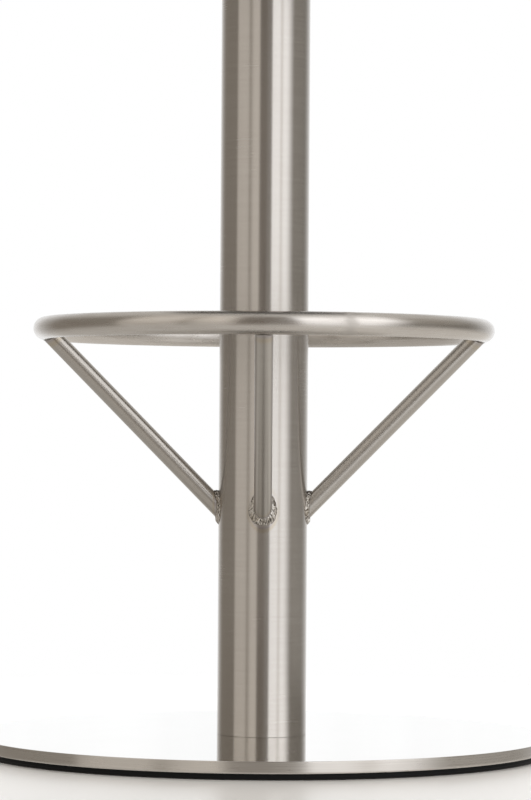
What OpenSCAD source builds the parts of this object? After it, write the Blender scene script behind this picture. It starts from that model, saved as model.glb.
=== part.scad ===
// Bar stool: a brushed steel pedestal with a welded foot ring and a round swivel seat.
// Millimetres, +Z up. The origin is on the floor under the column, and the front is -Y.

/* [Base] */
// Diameter of the steel base plate
base_d = 490; // [430:5:520]
// Thickness of the base plate
base_t = 10; // [8:1:14]
// Bevel round the base plate's two rims
base_bevel = 0.6; // [0.3:0.1:1.5]
// Height of the rubber floor ring under the plate
floor_ring_t = 5; // [3:0.5:8]
// Width of the floor ring, outside to inside
floor_ring_w = 28; // [18:1:40]
// How far the floor ring stands in from the plate's rim
floor_ring_inset = 1.6; // [0.6:0.2:5]

/* [Column] */
// Outside diameter of the column tube
column_d = 76.1; // [70:0.1:84]
// Wall of the column tube
column_wall = 2; // [1.5:0.1:3]
// Length of the column tube
column_len = 700; // [600:5:760]
// Thickness of the tapped plug welded into the column's foot
foot_plug_t = 14; // [12:1:20]

/* [Foot ring] */
// Diameter of the foot ring, measured on the tube's centreline
ring_d = 375; // [330:5:400]
// Outside diameter of the ring's tube
ring_tube_d = 19; // [18:0.5:24]
// Wall of the ring's tube
ring_wall = 1.5; // [1:0.1:2.5]
// Height of the ring's centreline above the floor
ring_z = 360; // [320:5:400]

/* [Struts] */
// Outside diameter of a strut's tube
strut_d = 15; // [12:0.5:16]
// Wall of a strut's tube
strut_wall = 1.5; // [1:0.1:2]
// How far a strut drops from the ring's centreline to its foot on the column
strut_drop = 152; // [130:1:170]
// Gap between a coped tube end and what it is welded to
weld_gap = 0.15; // [0.1:0.05:0.3]
// Leg of the weld bead at a strut's foot
foot_weld_leg = 3.6; // [2:0.1:4.5]
// Leg of the weld bead at a strut's head
head_weld_leg = 1.2; // [0.8:0.1:1.5]
// How much every second ripple of a weld bead stands out, as a share of its leg
weld_ripple = 0.14; // [0:0.02:0.3]

/* [Base bolts] */
// Thread diameter of the countersunk bolts up through the base plate
base_bolt_d = 10; // [8:1:12]
// Length of those bolts over their heads
base_bolt_len = 20; // [18:1:22]
// Head diameter of those bolts
base_bolt_head_d = 20; // [18:0.5:22]
// Width across flats of their sockets
base_bolt_socket = 6; // [5:0.5:7]
// Depth of their sockets
base_bolt_socket_depth = 3; // [2:0.5:4]
// Diameter of the circle that the bolts stand on
base_bolt_circle = 46; // [44:1:48]
// Number of base bolts
base_bolt_count = 4; // [3:1:4]

/* [Swivel] */
// Diameter of the swivel stem
stem_d = 25; // [20:1:28]
// Length of the stem below the lower bush, with its ring groove
stem_tail = 9; // [8:1:14]
// Wall of the polymer bushes
bush_wall = 5.5; // [4:0.5:7]
// Length of a bush inside the sleeve
bush_len = 22; // [15:1:30]
// Thickness of a bush's flange
bush_flange_t = 3; // [2:0.5:4]
// How far a bush's flange reaches past the sleeve's bore
bush_flange_reach = 4; // [3:0.5:5]
// Wall of the bearing sleeve
sleeve_wall = 3; // [2:0.5:4]
// Length of the bearing sleeve
sleeve_len = 95; // [80:5:120]
// Thickness of the plate welded into the column's head
end_plate_t = 6; // [5:1:10]
// Height of the thrust bearing over both races
bearing_h = 11; // [10:0.5:13]
// Thickness of each race
race_t = 3.2; // [3:0.1:3.8]
// Ball diameter
ball_d = 6; // [5:0.1:6.4]
// Number of balls
ball_count = 12; // [9:1:12]
// Width of a race on each side of its balls
race_lip = 1.5; // [1.2:0.1:2]
// Thickness of the ball cage
cage_t = 2; // [1.5:0.5:3]
// Outside diameter of the collar under the seat plate
hub_d = 50; // [44:1:56]
// Height of that collar
hub_h = 12; // [9:1:18]
// How far the collar's underside lies below the column's head
hub_sink = 1; // [0.5:0.5:2]
// Leg of the weld bead between the collar and the seat plate
hub_weld_leg = 4; // [3:0.5:5]
// Thickness of the washer under the lower bush
stem_washer_t = 1.5; // [1:0.5:2.5]
// Thickness of the retaining ring on the stem
circlip_t = 1.2; // [1:0.1:1.5]

/* [Column cap] */
// Thickness of the cap's rim on top of the column
cap_t = 3; // [2:0.5:5]
// Depth of the cap's skirt inside the column's head
cap_skirt = 9; // [6:1:11]
// Wall of the cap's skirt
cap_wall = 2.5; // [1.5:0.5:3.5]

/* [Seat plate] */
// Side of the square seat plate
plate_w = 200; // [180:5:205]
// Thickness of the seat plate
plate_t = 4; // [3:0.5:6]
// Corner radius of the seat plate
plate_corner = 18; // [10:1:25]
// How far the seat bolts stand in from the plate's sides
seat_bolt_inset = 20; // [14:1:28]
// Thread diameter of the seat bolts
seat_bolt_d = 8; // [6:1:8]
// Length of the seat bolts under their heads
seat_bolt_len = 18; // [16:1:19]
// Width across flats of their hexagon heads
seat_bolt_flats = 13; // [12:0.5:14]
// Height of their heads
seat_bolt_head_h = 5.3; // [4:0.1:6]
// Outside diameter of their washers
seat_washer_d = 17; // [16:0.5:22]
// Thickness of their washers
seat_washer_t = 1.6; // [1:0.1:2]

/* [Seat] */
// Diameter of the upholstered seat
seat_d = 380; // [360:5:420]
// Height of the seat's side, from the board's underside to the top seam
seat_side_h = 62; // [50:1:80]
// Height of the seat's crown over the top seam
seat_crown = 15; // [8:1:22]
// How far the side is drawn in between its two seams
side_draw = 3; // [0:0.5:5]
// Thickness of the upholstery
cover_t = 1.5; // [1:0.1:2.5]
// How far the upholstery is folded under the board
cover_fold = 34; // [25:1:38]
// Radius of the fold under the seat's edge
fold_roll = 6; // [5:0.5:8]
// Thickness of the plywood board
board_t = 15; // [14:1:20]
// Diameter of the piping along the two seams
piping_d = 5; // [3:0.5:6]
// Height of the lower line of piping above the board's underside
low_piping_h = 9; // [8:1:14]
// Thickness of the cloth under the board
cloth_t = 0.8; // [0.5:0.1:1.2]
// How far that cloth laps over the folded upholstery
cloth_lap = 14; // [8:1:20]
// Outside diameter of the flange of a tee nut in the board
tee_flange_d = 22; // [18:1:24]
// Length of a tee nut's barrel
tee_barrel = 10; // [8:1:12]

/* [Fits] */
// Gap between a pin, bolt or plug and its hole, on the radius
fit_gap = 0.1; // [0.05:0.05:0.2]
// Gap between a bolt and its clearance hole, on the radius
bolt_gap = 0.5; // [0.3:0.1:0.8]
// Running gap between turning parts, on the radius
run_gap = 0.05; // [0.03:0.01:0.08]
// Gap between layers of upholstery
layer_gap = 0.25; // [0.1:0.05:0.4]

/* [Hidden] */
$fn = 64;
over = 1;                 // how far a cutting tool passes a face

steel = [0.70, 0.67, 0.63];
dark_steel = [0.45, 0.44, 0.43];
black_rubber = [0.06, 0.06, 0.06];
black_plastic = [0.10, 0.10, 0.10];
white_polymer = [0.88, 0.87, 0.82];
plywood = [0.72, 0.56, 0.36];
foam_colour = [0.86, 0.80, 0.60];
leather_colour = [0.07, 0.07, 0.07];
cloth_colour = [0.12, 0.12, 0.12];

// Base and column
base_r = base_d / 2;
plate_z = floor_ring_t + base_t;      // top of the base plate
column_r = column_d / 2;
column_bore_r = column_r - column_wall;
plug_r = column_bore_r - fit_gap;
column_top = plate_z + column_len;
bolt_hole_r = base_bolt_d / 2 + bolt_gap;
bolt_head_r = base_bolt_head_d / 2;
head_sink = 0.1;                      // how far a countersunk head lies inside the plate
countersink_gap = 0.2;                // how much larger than the head its countersink is

// Foot ring and struts
ring_r = ring_d / 2;
ring_tube_r = ring_tube_d / 2;
strut_r = strut_d / 2;
strut_run = ring_r - column_r;
strut_tilt = atan2(strut_drop, strut_run);
strut_len = norm([strut_run, strut_drop]);
foot_z = ring_z - strut_drop;
strut_spare = 4;                      // what the cope cuts away even at the strut's lower side
strut_root = strut_r * tan(strut_tilt) + strut_spare;
strut_way = [cos(strut_tilt), 0, sin(strut_tilt)];
strut_across = [-sin(strut_tilt), 0, cos(strut_tilt)];
weld_steps = 48;
bead_bulge = 0.24;                    // how far a bead stands out over the line between its toes

// Swivel, from the end plate up and down
bush_bore_r = stem_d / 2 + run_gap;
sleeve_bore_r = stem_d / 2 + bush_wall + fit_gap;
sleeve_r = sleeve_bore_r + sleeve_wall;
bush_flange_r = sleeve_bore_r + bush_flange_reach;
end_plate_z = column_top - hub_sink - bearing_h - bush_flange_t;   // top of the end plate
bearing_z = end_plate_z + bush_flange_t;       // underside of the lower race
ball_z = bearing_z + bearing_h / 2;
race_gap = 0.5;                                 // between the lower race and the stem
race_in = stem_d / 2 + race_gap;
ball_track_r = race_in + race_lip + ball_d / 2;
race_out = ball_track_r + ball_d / 2 + race_lip;
cage_lip = race_lip / 2;
hub_z = bearing_z + bearing_h;                 // underside of the collar
seat_plate_z = hub_z + hub_h;                  // underside of the seat plate
sleeve_z = end_plate_z - sleeve_len;           // lower end of the sleeve
washer_z = sleeve_z - bush_flange_t - fit_gap; // top of the stem's washer
circlip_z = washer_z - stem_washer_t - fit_gap;
stem_low = washer_z - stem_tail;
groove_depth = 0.8;
groove_r = stem_d / 2 - groove_depth;
circlip_reach = 3;
circlip_r = stem_d / 2 + circlip_reach;
cap_hole_gap = 0.6;                            // between the turning collar and the cap

// Seat, from the seat plate up
cloth_z = seat_plate_z + plate_t;              // underside of the cloth where it meets the plate
board_z = cloth_z + cloth_t + layer_gap;       // underside of the board
board_top = board_z + board_t;
seat_r = seat_d / 2;
seam_z = board_z + seat_side_h;
fold_z = board_z - layer_gap - cover_t;        // underside of the folded upholstery
foam_skin = cover_t + layer_gap;
board_r = seat_r - foam_skin - side_draw;
board_edge = 3;
tee_wall = 1.2;
tee_r = seat_bolt_d / 2 + tee_wall;
tee_flange_t = 1.5;
seat_bolt_at = plate_w / 2 - seat_bolt_inset;
piping_r = piping_d / 2;
piping_bed = 0.7;                              // how deep a line of piping lies in the cover

// Points of a circular arc
function arc(x, y, r, from, to, steps) =
    [for (i = [0:steps]) let (a = from + (to - from) * i / steps) [x + r * cos(a), y + r * sin(a)]];

// Height of the cushion's top at radius x, for the surface that lies in by a depth
function crown_z(x, depth) =
    seam_z - depth + seat_crown * pow(max(0, 1 - pow(x / (seat_r - depth), 3)), 0.7);

// Radius of the cushion's side at height z, for the surface that lies in by a depth
function side_r(z, depth) =
    seat_r - depth - side_draw * sin(180 * (z - fold_z - fold_roll) / (seam_z - fold_z - fold_roll));

// The cushion's outline from the foot of its side to its top, lying in by a depth
function cushion_line(depth, low) = concat(
    [for (i = [0:8]) let (z = low + (seam_z - depth - low) * i / 8) [side_r(z, depth), z]],
    [for (i = [1:16]) let (x = (seat_r - depth) * sqrt(1 - i / 16)) [x, crown_z(x, depth)]]
);

module base_bolt_places() {
    for (i = [0:base_bolt_count - 1])
        rotate([0, 0, 360 * (i + 0.5) / base_bolt_count])
            translate([base_bolt_circle / 2, 0, 0])
                children();
}

module seat_bolt_places() {
    for (x = [-1, 1], y = [-1, 1])
        translate([x * seat_bolt_at, y * seat_bolt_at, 0])
            children();
}

module washer(outer, inner, h) {
    difference() {
        cylinder(r = outer, h = h);
        translate([0, 0, -over])
            cylinder(r = inner, h = h + 2 * over);
    }
}

// Base

module base_plate() {
    low = floor_ring_t;
    color(steel)
        difference() {
            rotate_extrude($fn = 128)
                polygon([
                    [0, low], [base_r - base_bevel, low], [base_r, low + base_bevel],
                    [base_r, plate_z - base_bevel], [base_r - base_bevel, plate_z], [0, plate_z],
                ]);
            base_bolt_places() {
                translate([0, 0, low - over])
                    cylinder(r = bolt_hole_r, h = base_t + 2 * over);
                translate([0, 0, low - over])
                    cylinder(r1 = bolt_head_r + countersink_gap + over, r2 = 0,
                             h = bolt_head_r + countersink_gap + over);
            }
        }
}

module floor_ring() {
    outer = base_r - floor_ring_inset;
    color(black_rubber)
        washer(outer, outer - floor_ring_w, floor_ring_t, $fn = 128);
}

module base_bolts() {
    bolt_r = base_bolt_d / 2;
    head_z = floor_ring_t + head_sink;
    color(dark_steel)
        base_bolt_places()
            translate([0, 0, head_z])
                difference() {
                    union() {
                        cylinder(r1 = bolt_head_r, r2 = bolt_r, h = bolt_head_r - bolt_r);
                        cylinder(r = bolt_r, h = base_bolt_len);
                    }
                    translate([0, 0, -over])
                        cylinder(d = base_bolt_socket / cos(30), h = base_bolt_socket_depth + over, $fn = 6);
                }
}

// Column

module column_tube() {
    color(steel)
        translate([0, 0, plate_z])
            washer(column_r, column_bore_r, column_len);
}

module column_foot_plug() {
    color(dark_steel)
        translate([0, 0, plate_z])
            difference() {
                cylinder(r = plug_r, h = foot_plug_t);
                base_bolt_places()
                    translate([0, 0, -over])
                        cylinder(r = base_bolt_d / 2 + fit_gap, h = foot_plug_t + 2 * over);
            }
}

module column_end_plate() {
    color(dark_steel)
        translate([0, 0, end_plate_z - end_plate_t])
            washer(plug_r, sleeve_r + fit_gap, end_plate_t);
}

module column_cap() {
    color(black_plastic)
        difference() {
            union() {
                translate([0, 0, column_top])
                    cylinder(r = column_r, h = cap_t);
                translate([0, 0, column_top - cap_skirt])
                    cylinder(r = column_bore_r - fit_gap, h = cap_skirt + cap_t);
            }
            translate([0, 0, column_top - cap_skirt - over])
                cylinder(r = column_bore_r - fit_gap - cap_wall, h = cap_skirt + over);
            translate([0, 0, column_top - over])
                cylinder(r = hub_d / 2 + cap_hole_gap, h = cap_t + 2 * over);
        }
}

// Foot ring and its struts

module ring_section(r) {
    translate([ring_r, ring_z])
        circle(r = r, $fn = 48);
}

module foot_ring() {
    color(steel)
        rotate_extrude($fn = 128)
            difference() {
                ring_section(ring_tube_r);
                ring_section(ring_tube_r - ring_wall);
            }
}

// A bar on the axis of the strut that reaches out along +X
module strut_bar(r, from, to) {
    translate([column_r, 0, foot_z])
        rotate([0, 90 - strut_tilt, 0])
            translate([0, 0, from])
                cylinder(r = r, h = to - from);
}

// A strut's tube, coped at its foot to the column and at its head to the ring
module strut(turn) {
    color(steel)
        rotate([0, 0, turn])
            difference() {
                strut_bar(strut_r, -strut_root, strut_len);
                strut_bar(strut_r - strut_wall, -strut_root - over, strut_len + over);
                cylinder(r = column_r + weld_gap, h = ring_z);
                rotate_extrude($fn = 128)
                    ring_section(ring_tube_r + weld_gap);
            }
}

module strut_front() { strut(-90); }
module strut_right() { strut(0); }
module strut_back() { strut(90); }
module strut_left() { strut(180); }

// Where a cylinder of radius r about the strut's axis meets the column. At t = 0 it is the upper side.
function on_column(r, t) =
    let (
        side = r * sin(t),
        reach = sqrt(pow(column_r + weld_gap, 2) - side * side),
        along = (reach - column_r + r * cos(t) * sin(strut_tilt)) / cos(strut_tilt)
    )
    [reach, side, foot_z + along * sin(strut_tilt) + r * cos(t) * cos(strut_tilt)];

// The nearest point to p on the ring's tube
function onto_ring(p) =
    let (
        far = norm([p.x, p.y]),
        off = [far - ring_r, p.z - ring_z],
        scale = (ring_tube_r + weld_gap) / norm(off),
        new_far = ring_r + off.x * scale
    )
    [p.x * new_far / far, p.y * new_far / far, ring_z + off.y * scale];

// Where a cylinder of radius r about the strut's axis meets the ring's tube
function on_ring(r, t) =
    let (back = sqrt(pow(ring_tube_r + weld_gap, 2) - pow(r * cos(t), 2)))
    onto_ring([ring_r, 0, ring_z] - back * strut_way + r * cos(t) * strut_across + [0, r * sin(t), 0]);

// One section of a fillet bead: its corner, its two toes and two points on the bulge between them
function bead_section(corner, toe_a, toe_b) =
    let (bulge = (toe_a + toe_b) * (1 + bead_bulge) / 2 - corner * bead_bulge)
    [corner, toe_a, (toe_a + 3 * bulge) / 4, (toe_b + 3 * bulge) / 4, toe_b];

function ripple(i) = 1 + weld_ripple * (i % 2);

function foot_bead(i) =
    let (
        t = 360 * i / weld_steps,
        leg = foot_weld_leg * ripple(i),
        spread = leg * sqrt(pow(cos(strut_tilt) * cos(t), 2) + pow(sin(t), 2)),
        corner = on_column(strut_r + weld_gap, t)
    )
    bead_section(corner, on_column(strut_r + weld_gap + spread, t), corner + leg * strut_way);

function head_bead(i) =
    let (
        t = 360 * i / weld_steps,
        leg = head_weld_leg * ripple(i),
        corner = on_ring(strut_r + weld_gap, t)
    )
    bead_section(corner, on_ring(strut_r + weld_gap + leg * 0.8, t), corner - leg * strut_way);

// A closed loop of equal sections, skinned with triangles
module closed_loop(sections, turned) {
    n = len(sections);
    k = len(sections[0]);
    quads = [
        for (i = [0:n - 1], j = [0:k - 1])
            [i * k + j, i * k + (j + 1) % k, ((i + 1) % n) * k + (j + 1) % k, ((i + 1) % n) * k + j]
    ];
    faces = [for (q = quads) each [[q[0], q[1], q[2]], [q[0], q[2], q[3]]]];
    polyhedron(
        points = [for (s = sections) each s],
        faces = turned ? [for (f = faces) [f[2], f[1], f[0]]] : faces
    );
}

module strut_foot_welds() {
    color(dark_steel)
        for (turn = [0:90:270])
            rotate([0, 0, turn])
                closed_loop([for (i = [0:weld_steps - 1]) foot_bead(i)], false);
}

module strut_head_welds() {
    color(dark_steel)
        for (turn = [0:90:270])
            rotate([0, 0, turn])
                closed_loop([for (i = [0:weld_steps - 1]) head_bead(i)], true);
}

// Swivel: what stays with the column

module bearing_sleeve() {
    color(dark_steel)
        translate([0, 0, sleeve_z])
            washer(sleeve_r, sleeve_bore_r, sleeve_len);
}

module bush() {
    difference() {
        union() {
            cylinder(r = bush_flange_r, h = bush_flange_t);
            translate([0, 0, -bush_len])
                cylinder(r = sleeve_bore_r - fit_gap, h = bush_len);
        }
        translate([0, 0, -bush_len - over])
            cylinder(r = bush_bore_r, h = bush_len + bush_flange_t + 2 * over);
    }
}

module upper_bush() {
    color(white_polymer)
        translate([0, 0, end_plate_z])
            bush();
}

module lower_bush() {
    color(white_polymer)
        translate([0, 0, sleeve_z])
            mirror([0, 0, 1])
                bush();
}

// The groove that the balls run in, cut into both races
module ball_track() {
    translate([0, 0, ball_z])
        rotate_extrude()
            translate([ball_track_r, 0])
                circle(r = ball_d / 2 + run_gap, $fn = 32);
}

module race(z, bore_r) {
    color(steel)
        difference() {
            translate([0, 0, z])
                washer(race_out, bore_r, race_t);
            ball_track();
        }
}

module lower_race() { race(bearing_z, race_in); }

// Swivel: the balls and their cage, which roll round at half the seat's speed

module ball_places() {
    for (i = [0:ball_count - 1])
        rotate([0, 0, 360 * i / ball_count])
            translate([ball_track_r, 0, ball_z])
                children();
}

module ball_cage() {
    color("goldenrod")
        difference() {
            translate([0, 0, ball_z - cage_t / 2])
                washer(race_out - race_lip + cage_lip, race_in + race_lip - cage_lip, cage_t);
            ball_places()
                translate([0, 0, -cage_t])
                    cylinder(r = ball_d / 2 + run_gap, h = 2 * cage_t, $fn = 32);
        }
}

module bearing_balls() {
    color(steel)
        ball_places()
            sphere(d = ball_d, $fn = 32);
}

// Swivel: what turns with the seat

module upper_race() { race(hub_z - race_t, stem_d / 2 + fit_gap); }

module swivel_stem() {
    color(steel)
        difference() {
            translate([0, 0, stem_low])
                cylinder(d = stem_d, h = seat_plate_z + plate_t - stem_low);
            translate([0, 0, circlip_z - circlip_t - fit_gap])
                washer(stem_d, groove_r, circlip_t + 2 * fit_gap);
        }
}

module stem_washer() {
    color(dark_steel)
        translate([0, 0, washer_z - stem_washer_t])
            washer(bush_flange_r, stem_d / 2 + fit_gap, stem_washer_t);
}

// A snap ring with two drilled ears, open on one side
module circlip() {
    ear_r = 2.4;
    ear_turn = 12;
    ear_at = circlip_r + ear_r / 4;
    opening = 2.4;
    color(dark_steel)
        translate([0, 0, circlip_z - circlip_t])
            difference() {
                union() {
                    cylinder(r = circlip_r, h = circlip_t);
                    for (side = [-1, 1])
                        rotate([0, 0, side * ear_turn])
                            translate([ear_at, 0, 0])
                                cylinder(r = ear_r, h = circlip_t, $fn = 24);
                }
                translate([0, 0, -over])
                    cylinder(r = groove_r + fit_gap, h = circlip_t + 2 * over);
                for (side = [-1, 1])
                    rotate([0, 0, side * ear_turn])
                        translate([ear_at, 0, -over])
                            cylinder(r = ear_r / 2, h = circlip_t + 2 * over, $fn = 24);
                translate([0, -opening / 2, -over])
                    cube([2 * circlip_r, opening, circlip_t + 2 * over]);
            }
}

module swivel_hub() {
    color(dark_steel)
        translate([0, 0, hub_z])
            washer(hub_d / 2, stem_d / 2 + fit_gap, hub_h);
}

// The fillet bead round the collar, under the seat plate
module hub_weld() {
    hub_side = hub_d / 2 + weld_gap;
    under_plate = seat_plate_z - weld_gap;
    hollow = hub_weld_leg / 5;
    color(dark_steel)
        rotate_extrude()
            polygon([
                [hub_side, under_plate], [hub_side, under_plate - hub_weld_leg],
                [hub_side + hub_weld_leg / 2 + hollow, under_plate - hub_weld_leg / 2 - hollow],
                [hub_side + hub_weld_leg, under_plate],
            ]);
}

// Seat plate and its bolts

module rounded_square(w, r) {
    square([w, w - 2 * r], center = true);
    square([w - 2 * r, w], center = true);
    for (x = [-1, 1], y = [-1, 1])
        translate([x * (w / 2 - r), y * (w / 2 - r)])
            circle(r = r, $fn = 48);
}

module seat_plate() {
    color(dark_steel)
        translate([0, 0, seat_plate_z])
            difference() {
                linear_extrude(height = plate_t)
                    rounded_square(plate_w, plate_corner);
                translate([0, 0, -over])
                    cylinder(r = stem_d / 2 + fit_gap, h = plate_t + 2 * over);
                seat_bolt_places()
                    translate([0, 0, -over])
                        cylinder(r = seat_bolt_d / 2 + bolt_gap, h = plate_t + 2 * over);
            }
}

module seat_washers() {
    color(steel)
        seat_bolt_places()
            translate([0, 0, seat_plate_z - seat_washer_t])
                washer(seat_washer_d / 2, seat_bolt_d / 2 + fit_gap, seat_washer_t);
}

module seat_bolts() {
    head_bevel = 0.3;
    color(steel)
        seat_bolt_places()
            translate([0, 0, seat_plate_z - seat_washer_t]) {
                cylinder(d = seat_bolt_d, h = seat_bolt_len);
                translate([0, 0, -seat_bolt_head_h])
                    intersection() {
                        cylinder(d = seat_bolt_flats / cos(30), h = seat_bolt_head_h, $fn = 6);
                        cylinder(r1 = seat_bolt_flats / 2 - head_bevel, r2 = seat_bolt_flats,
                                 h = seat_bolt_flats / 2 + head_bevel);
                    }
            }
}

// Seat

// Plain cloth that lies against the board, and steps down over the edge of the folded upholstery
module underside_cloth() {
    step_run = 3;
    step_r = seat_r - cover_fold - step_run / 2;
    edge_r = step_r + cloth_lap;
    step = fold_z - layer_gap - cloth_t - cloth_z;
    color(cloth_colour)
        difference() {
            rotate_extrude($fn = 128)
                polygon([
                    [0, cloth_z], [step_r - step_run, cloth_z],
                    [step_r, cloth_z + step], [edge_r, cloth_z + step],
                    [edge_r, cloth_z + step + cloth_t], [step_r, cloth_z + step + cloth_t],
                    [step_r - step_run, cloth_z + cloth_t], [0, cloth_z + cloth_t],
                ]);
            seat_bolt_places()
                translate([0, 0, cloth_z - over])
                    cylinder(r = seat_bolt_d / 2 + bolt_gap, h = cloth_t + 2 * over);
        }
}

module seat_board() {
    color(plywood)
        difference() {
            rotate_extrude($fn = 128)
                polygon(concat(
                    [[0, board_z]],
                    arc(board_r - board_edge, board_z + board_edge, board_edge, -90, 0, 6),
                    [[board_r, board_top], [0, board_top]]
                ));
            seat_bolt_places() {
                translate([0, 0, board_z - over])
                    cylinder(r = tee_r + fit_gap, h = board_t + 2 * over);
                translate([0, 0, board_top - tee_flange_t - fit_gap])
                    cylinder(r = tee_flange_d / 2 + fit_gap, h = tee_flange_t + over);
            }
        }
}

module tee_nuts() {
    color(steel)
        seat_bolt_places()
            translate([0, 0, board_top - fit_gap])
                difference() {
                    union() {
                        translate([0, 0, -tee_flange_t])
                            cylinder(d = tee_flange_d, h = tee_flange_t);
                        translate([0, 0, -tee_barrel])
                            cylinder(r = tee_r, h = tee_barrel);
                    }
                    translate([0, 0, -tee_barrel - over])
                        cylinder(r = seat_bolt_d / 2 + fit_gap, h = tee_barrel + 2 * over);
                }
}

module seat_foam() {
    color(foam_colour)
        rotate_extrude($fn = 128)
            polygon(concat([[0, board_top]], cushion_line(foam_skin, board_top)));
}

// The two lines of piping, thicker by a gap where they are cut out of the cover
module piping_lines(gap) {
    for (z = [seam_z, board_z + low_piping_h])
        rotate_extrude($fn = 128)
            translate([side_r(z, 0) + piping_r - piping_bed, z])
                circle(r = piping_r + gap, $fn = 32);
}

module seat_cover() {
    roll_x = seat_r - fold_roll;
    roll_z = fold_z + fold_roll;
    outer = concat(
        [[seat_r - cover_fold, fold_z]],
        arc(roll_x, roll_z, fold_roll, -90, -15, 5),
        cushion_line(0, roll_z)
    );
    inner = concat(
        [[seat_r - cover_fold, fold_z + cover_t]],
        arc(roll_x, roll_z, fold_roll - cover_t, -90, -15, 5),
        cushion_line(cover_t, roll_z)
    );
    turned = [for (i = [len(inner) - 1:-1:0]) inner[i]];
    color(leather_colour)
        difference() {
            rotate_extrude($fn = 128)
                polygon(concat(outer, turned));
            piping_lines(layer_gap / 2);
        }
}

module seat_piping() {
    color(leather_colour)
        piping_lines(0);
}

base_plate();
floor_ring();
base_bolts();
column_tube();
column_foot_plug();
column_end_plate();
bearing_sleeve();
upper_bush();
lower_bush();
lower_race();
column_cap();
foot_ring();
strut_front();
strut_right();
strut_back();
strut_left();
strut_foot_welds();
strut_head_welds();
ball_cage();
bearing_balls();
upper_race();
swivel_stem();
stem_washer();
circlip();
swivel_hub();
hub_weld();
seat_plate();
seat_bolts();
seat_washers();
underside_cloth();
seat_board();
tee_nuts();
seat_foam();
seat_cover();
seat_piping();
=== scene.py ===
# %% [markdown]
# A bar stool of brushed stainless steel, dressed step by step.
# The stool stands on a round steel plate with a rubber ring under it. A column rises from the plate, four short
# struts carry a ring for the feet, and a round padded seat turns on a bearing in the column's head.
# The solids come from the workshop's own model, which is loaded first and never moved. Everything that is made here
# is built round it, in metres, so a piece lands where the solid is. Sizes are written in millimetres, as a maker
# writes them, and turned to metres when a mesh is made.

# %% Load the frame
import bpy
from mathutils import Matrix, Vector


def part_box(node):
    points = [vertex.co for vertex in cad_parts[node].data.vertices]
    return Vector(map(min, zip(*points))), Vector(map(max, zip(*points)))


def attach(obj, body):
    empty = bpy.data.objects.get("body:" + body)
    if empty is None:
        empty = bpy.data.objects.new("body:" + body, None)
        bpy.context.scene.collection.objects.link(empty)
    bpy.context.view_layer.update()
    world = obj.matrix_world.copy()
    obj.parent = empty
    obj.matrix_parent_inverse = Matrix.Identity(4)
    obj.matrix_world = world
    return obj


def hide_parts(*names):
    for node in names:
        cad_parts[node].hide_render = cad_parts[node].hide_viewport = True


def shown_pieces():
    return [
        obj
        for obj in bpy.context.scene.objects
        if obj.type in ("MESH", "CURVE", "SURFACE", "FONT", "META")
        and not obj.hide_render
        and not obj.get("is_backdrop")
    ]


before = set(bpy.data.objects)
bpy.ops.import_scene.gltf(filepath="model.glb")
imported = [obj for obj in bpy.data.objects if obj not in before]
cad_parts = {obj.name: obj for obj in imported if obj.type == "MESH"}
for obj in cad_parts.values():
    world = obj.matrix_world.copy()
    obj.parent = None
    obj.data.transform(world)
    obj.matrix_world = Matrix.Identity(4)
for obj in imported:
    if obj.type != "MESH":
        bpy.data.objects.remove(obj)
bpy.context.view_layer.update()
print("the frame holds", len(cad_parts), "named parts")

# %% [markdown]
# Blender counts in metres and a workshop in millimetres. One number turns the first into the second wherever a
# size is used, so that every size below can be read like one on a drawing.

# %% Tools and units
from math import atan2, cos, degrees, hypot, pi, radians, sin, sqrt

import bmesh
import bpy
from mathutils import Matrix, Vector, noise
from mathutils.bvhtree import BVHTree

MM = 0.001

# %% [markdown]
# Colours are written as sRGB hex values, the way a paint chart or a photograph gives them. Blender mixes light in
# linear numbers, so one function turns the first into the second. Without it every colour would come out too pale.

# %% Colour
def paint(code):
    """The linear colour of an sRGB hex code such as #c9c4bd."""
    parts = [int(code[i:i + 2], 16) / 255 for i in (1, 3, 5)]
    return (*[p / 12.92 if p <= 0.04045 else ((p + 0.055) / 1.055) ** 2.4 for p in parts], 1)


print("mid grey is", round(paint("#808080")[0], 3), "in linear light")

# %% [markdown]
# A material is a small tree of nodes. Writing each node with its links by hand takes four lines, so one function
# adds a node of any kind, sets it up and links its inputs. An input is named, or numbered where names repeat, and
# it takes a value, a socket, or a whole node, which means that node's first live output.

# %% Nodes
def live(sockets, key):
    """The socket with that number, or the live one with that name."""
    if isinstance(key, int):
        return sockets[key]
    return next(s for s in sockets if s.enabled and s.name == key)


def add_node(tree, kind, inputs=None, **settings):
    """A node of that kind with its settings made, and its inputs set or linked."""
    node = tree.nodes.new("ShaderNode" + kind)
    for name, value in settings.items():
        setattr(node, name, value)
    for key, value in (inputs or {}).items():
        socket = live(node.inputs, key)
        if isinstance(value, bpy.types.Node):
            value = next(s for s in value.outputs if s.enabled)
        if isinstance(value, bpy.types.NodeSocket):
            tree.links.new(value, socket)
        else:
            socket.default_value = value
    return node


print("Blender has", sum(name.startswith("ShaderNode") for name in dir(bpy.types)), "kinds of shader node")

# %% [markdown]
# Every finish starts in the same way: a new material, an empty tree and a place in space. The place is the
# object's own, in metres, so marks have their real size and stay on the seat when it turns. A finish ends where its
# shader is joined to the output.

# %% Start and end of a finish
def start_finish(name):
    """A new material with an empty tree, and the object's own coordinates in metres."""
    material = bpy.data.materials.new(name)
    material.use_nodes = True
    tree = material.node_tree
    tree.nodes.clear()
    print("finish:", name)
    return material, tree, add_node(tree, "TexCoord").outputs["Object"]


def end_finish(tree, shader):
    """Joins the shader to the material's output."""
    add_node(tree, "OutputMaterial", {"Surface": shader})


print("the solids came with", len(bpy.data.materials), "plain materials")

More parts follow.
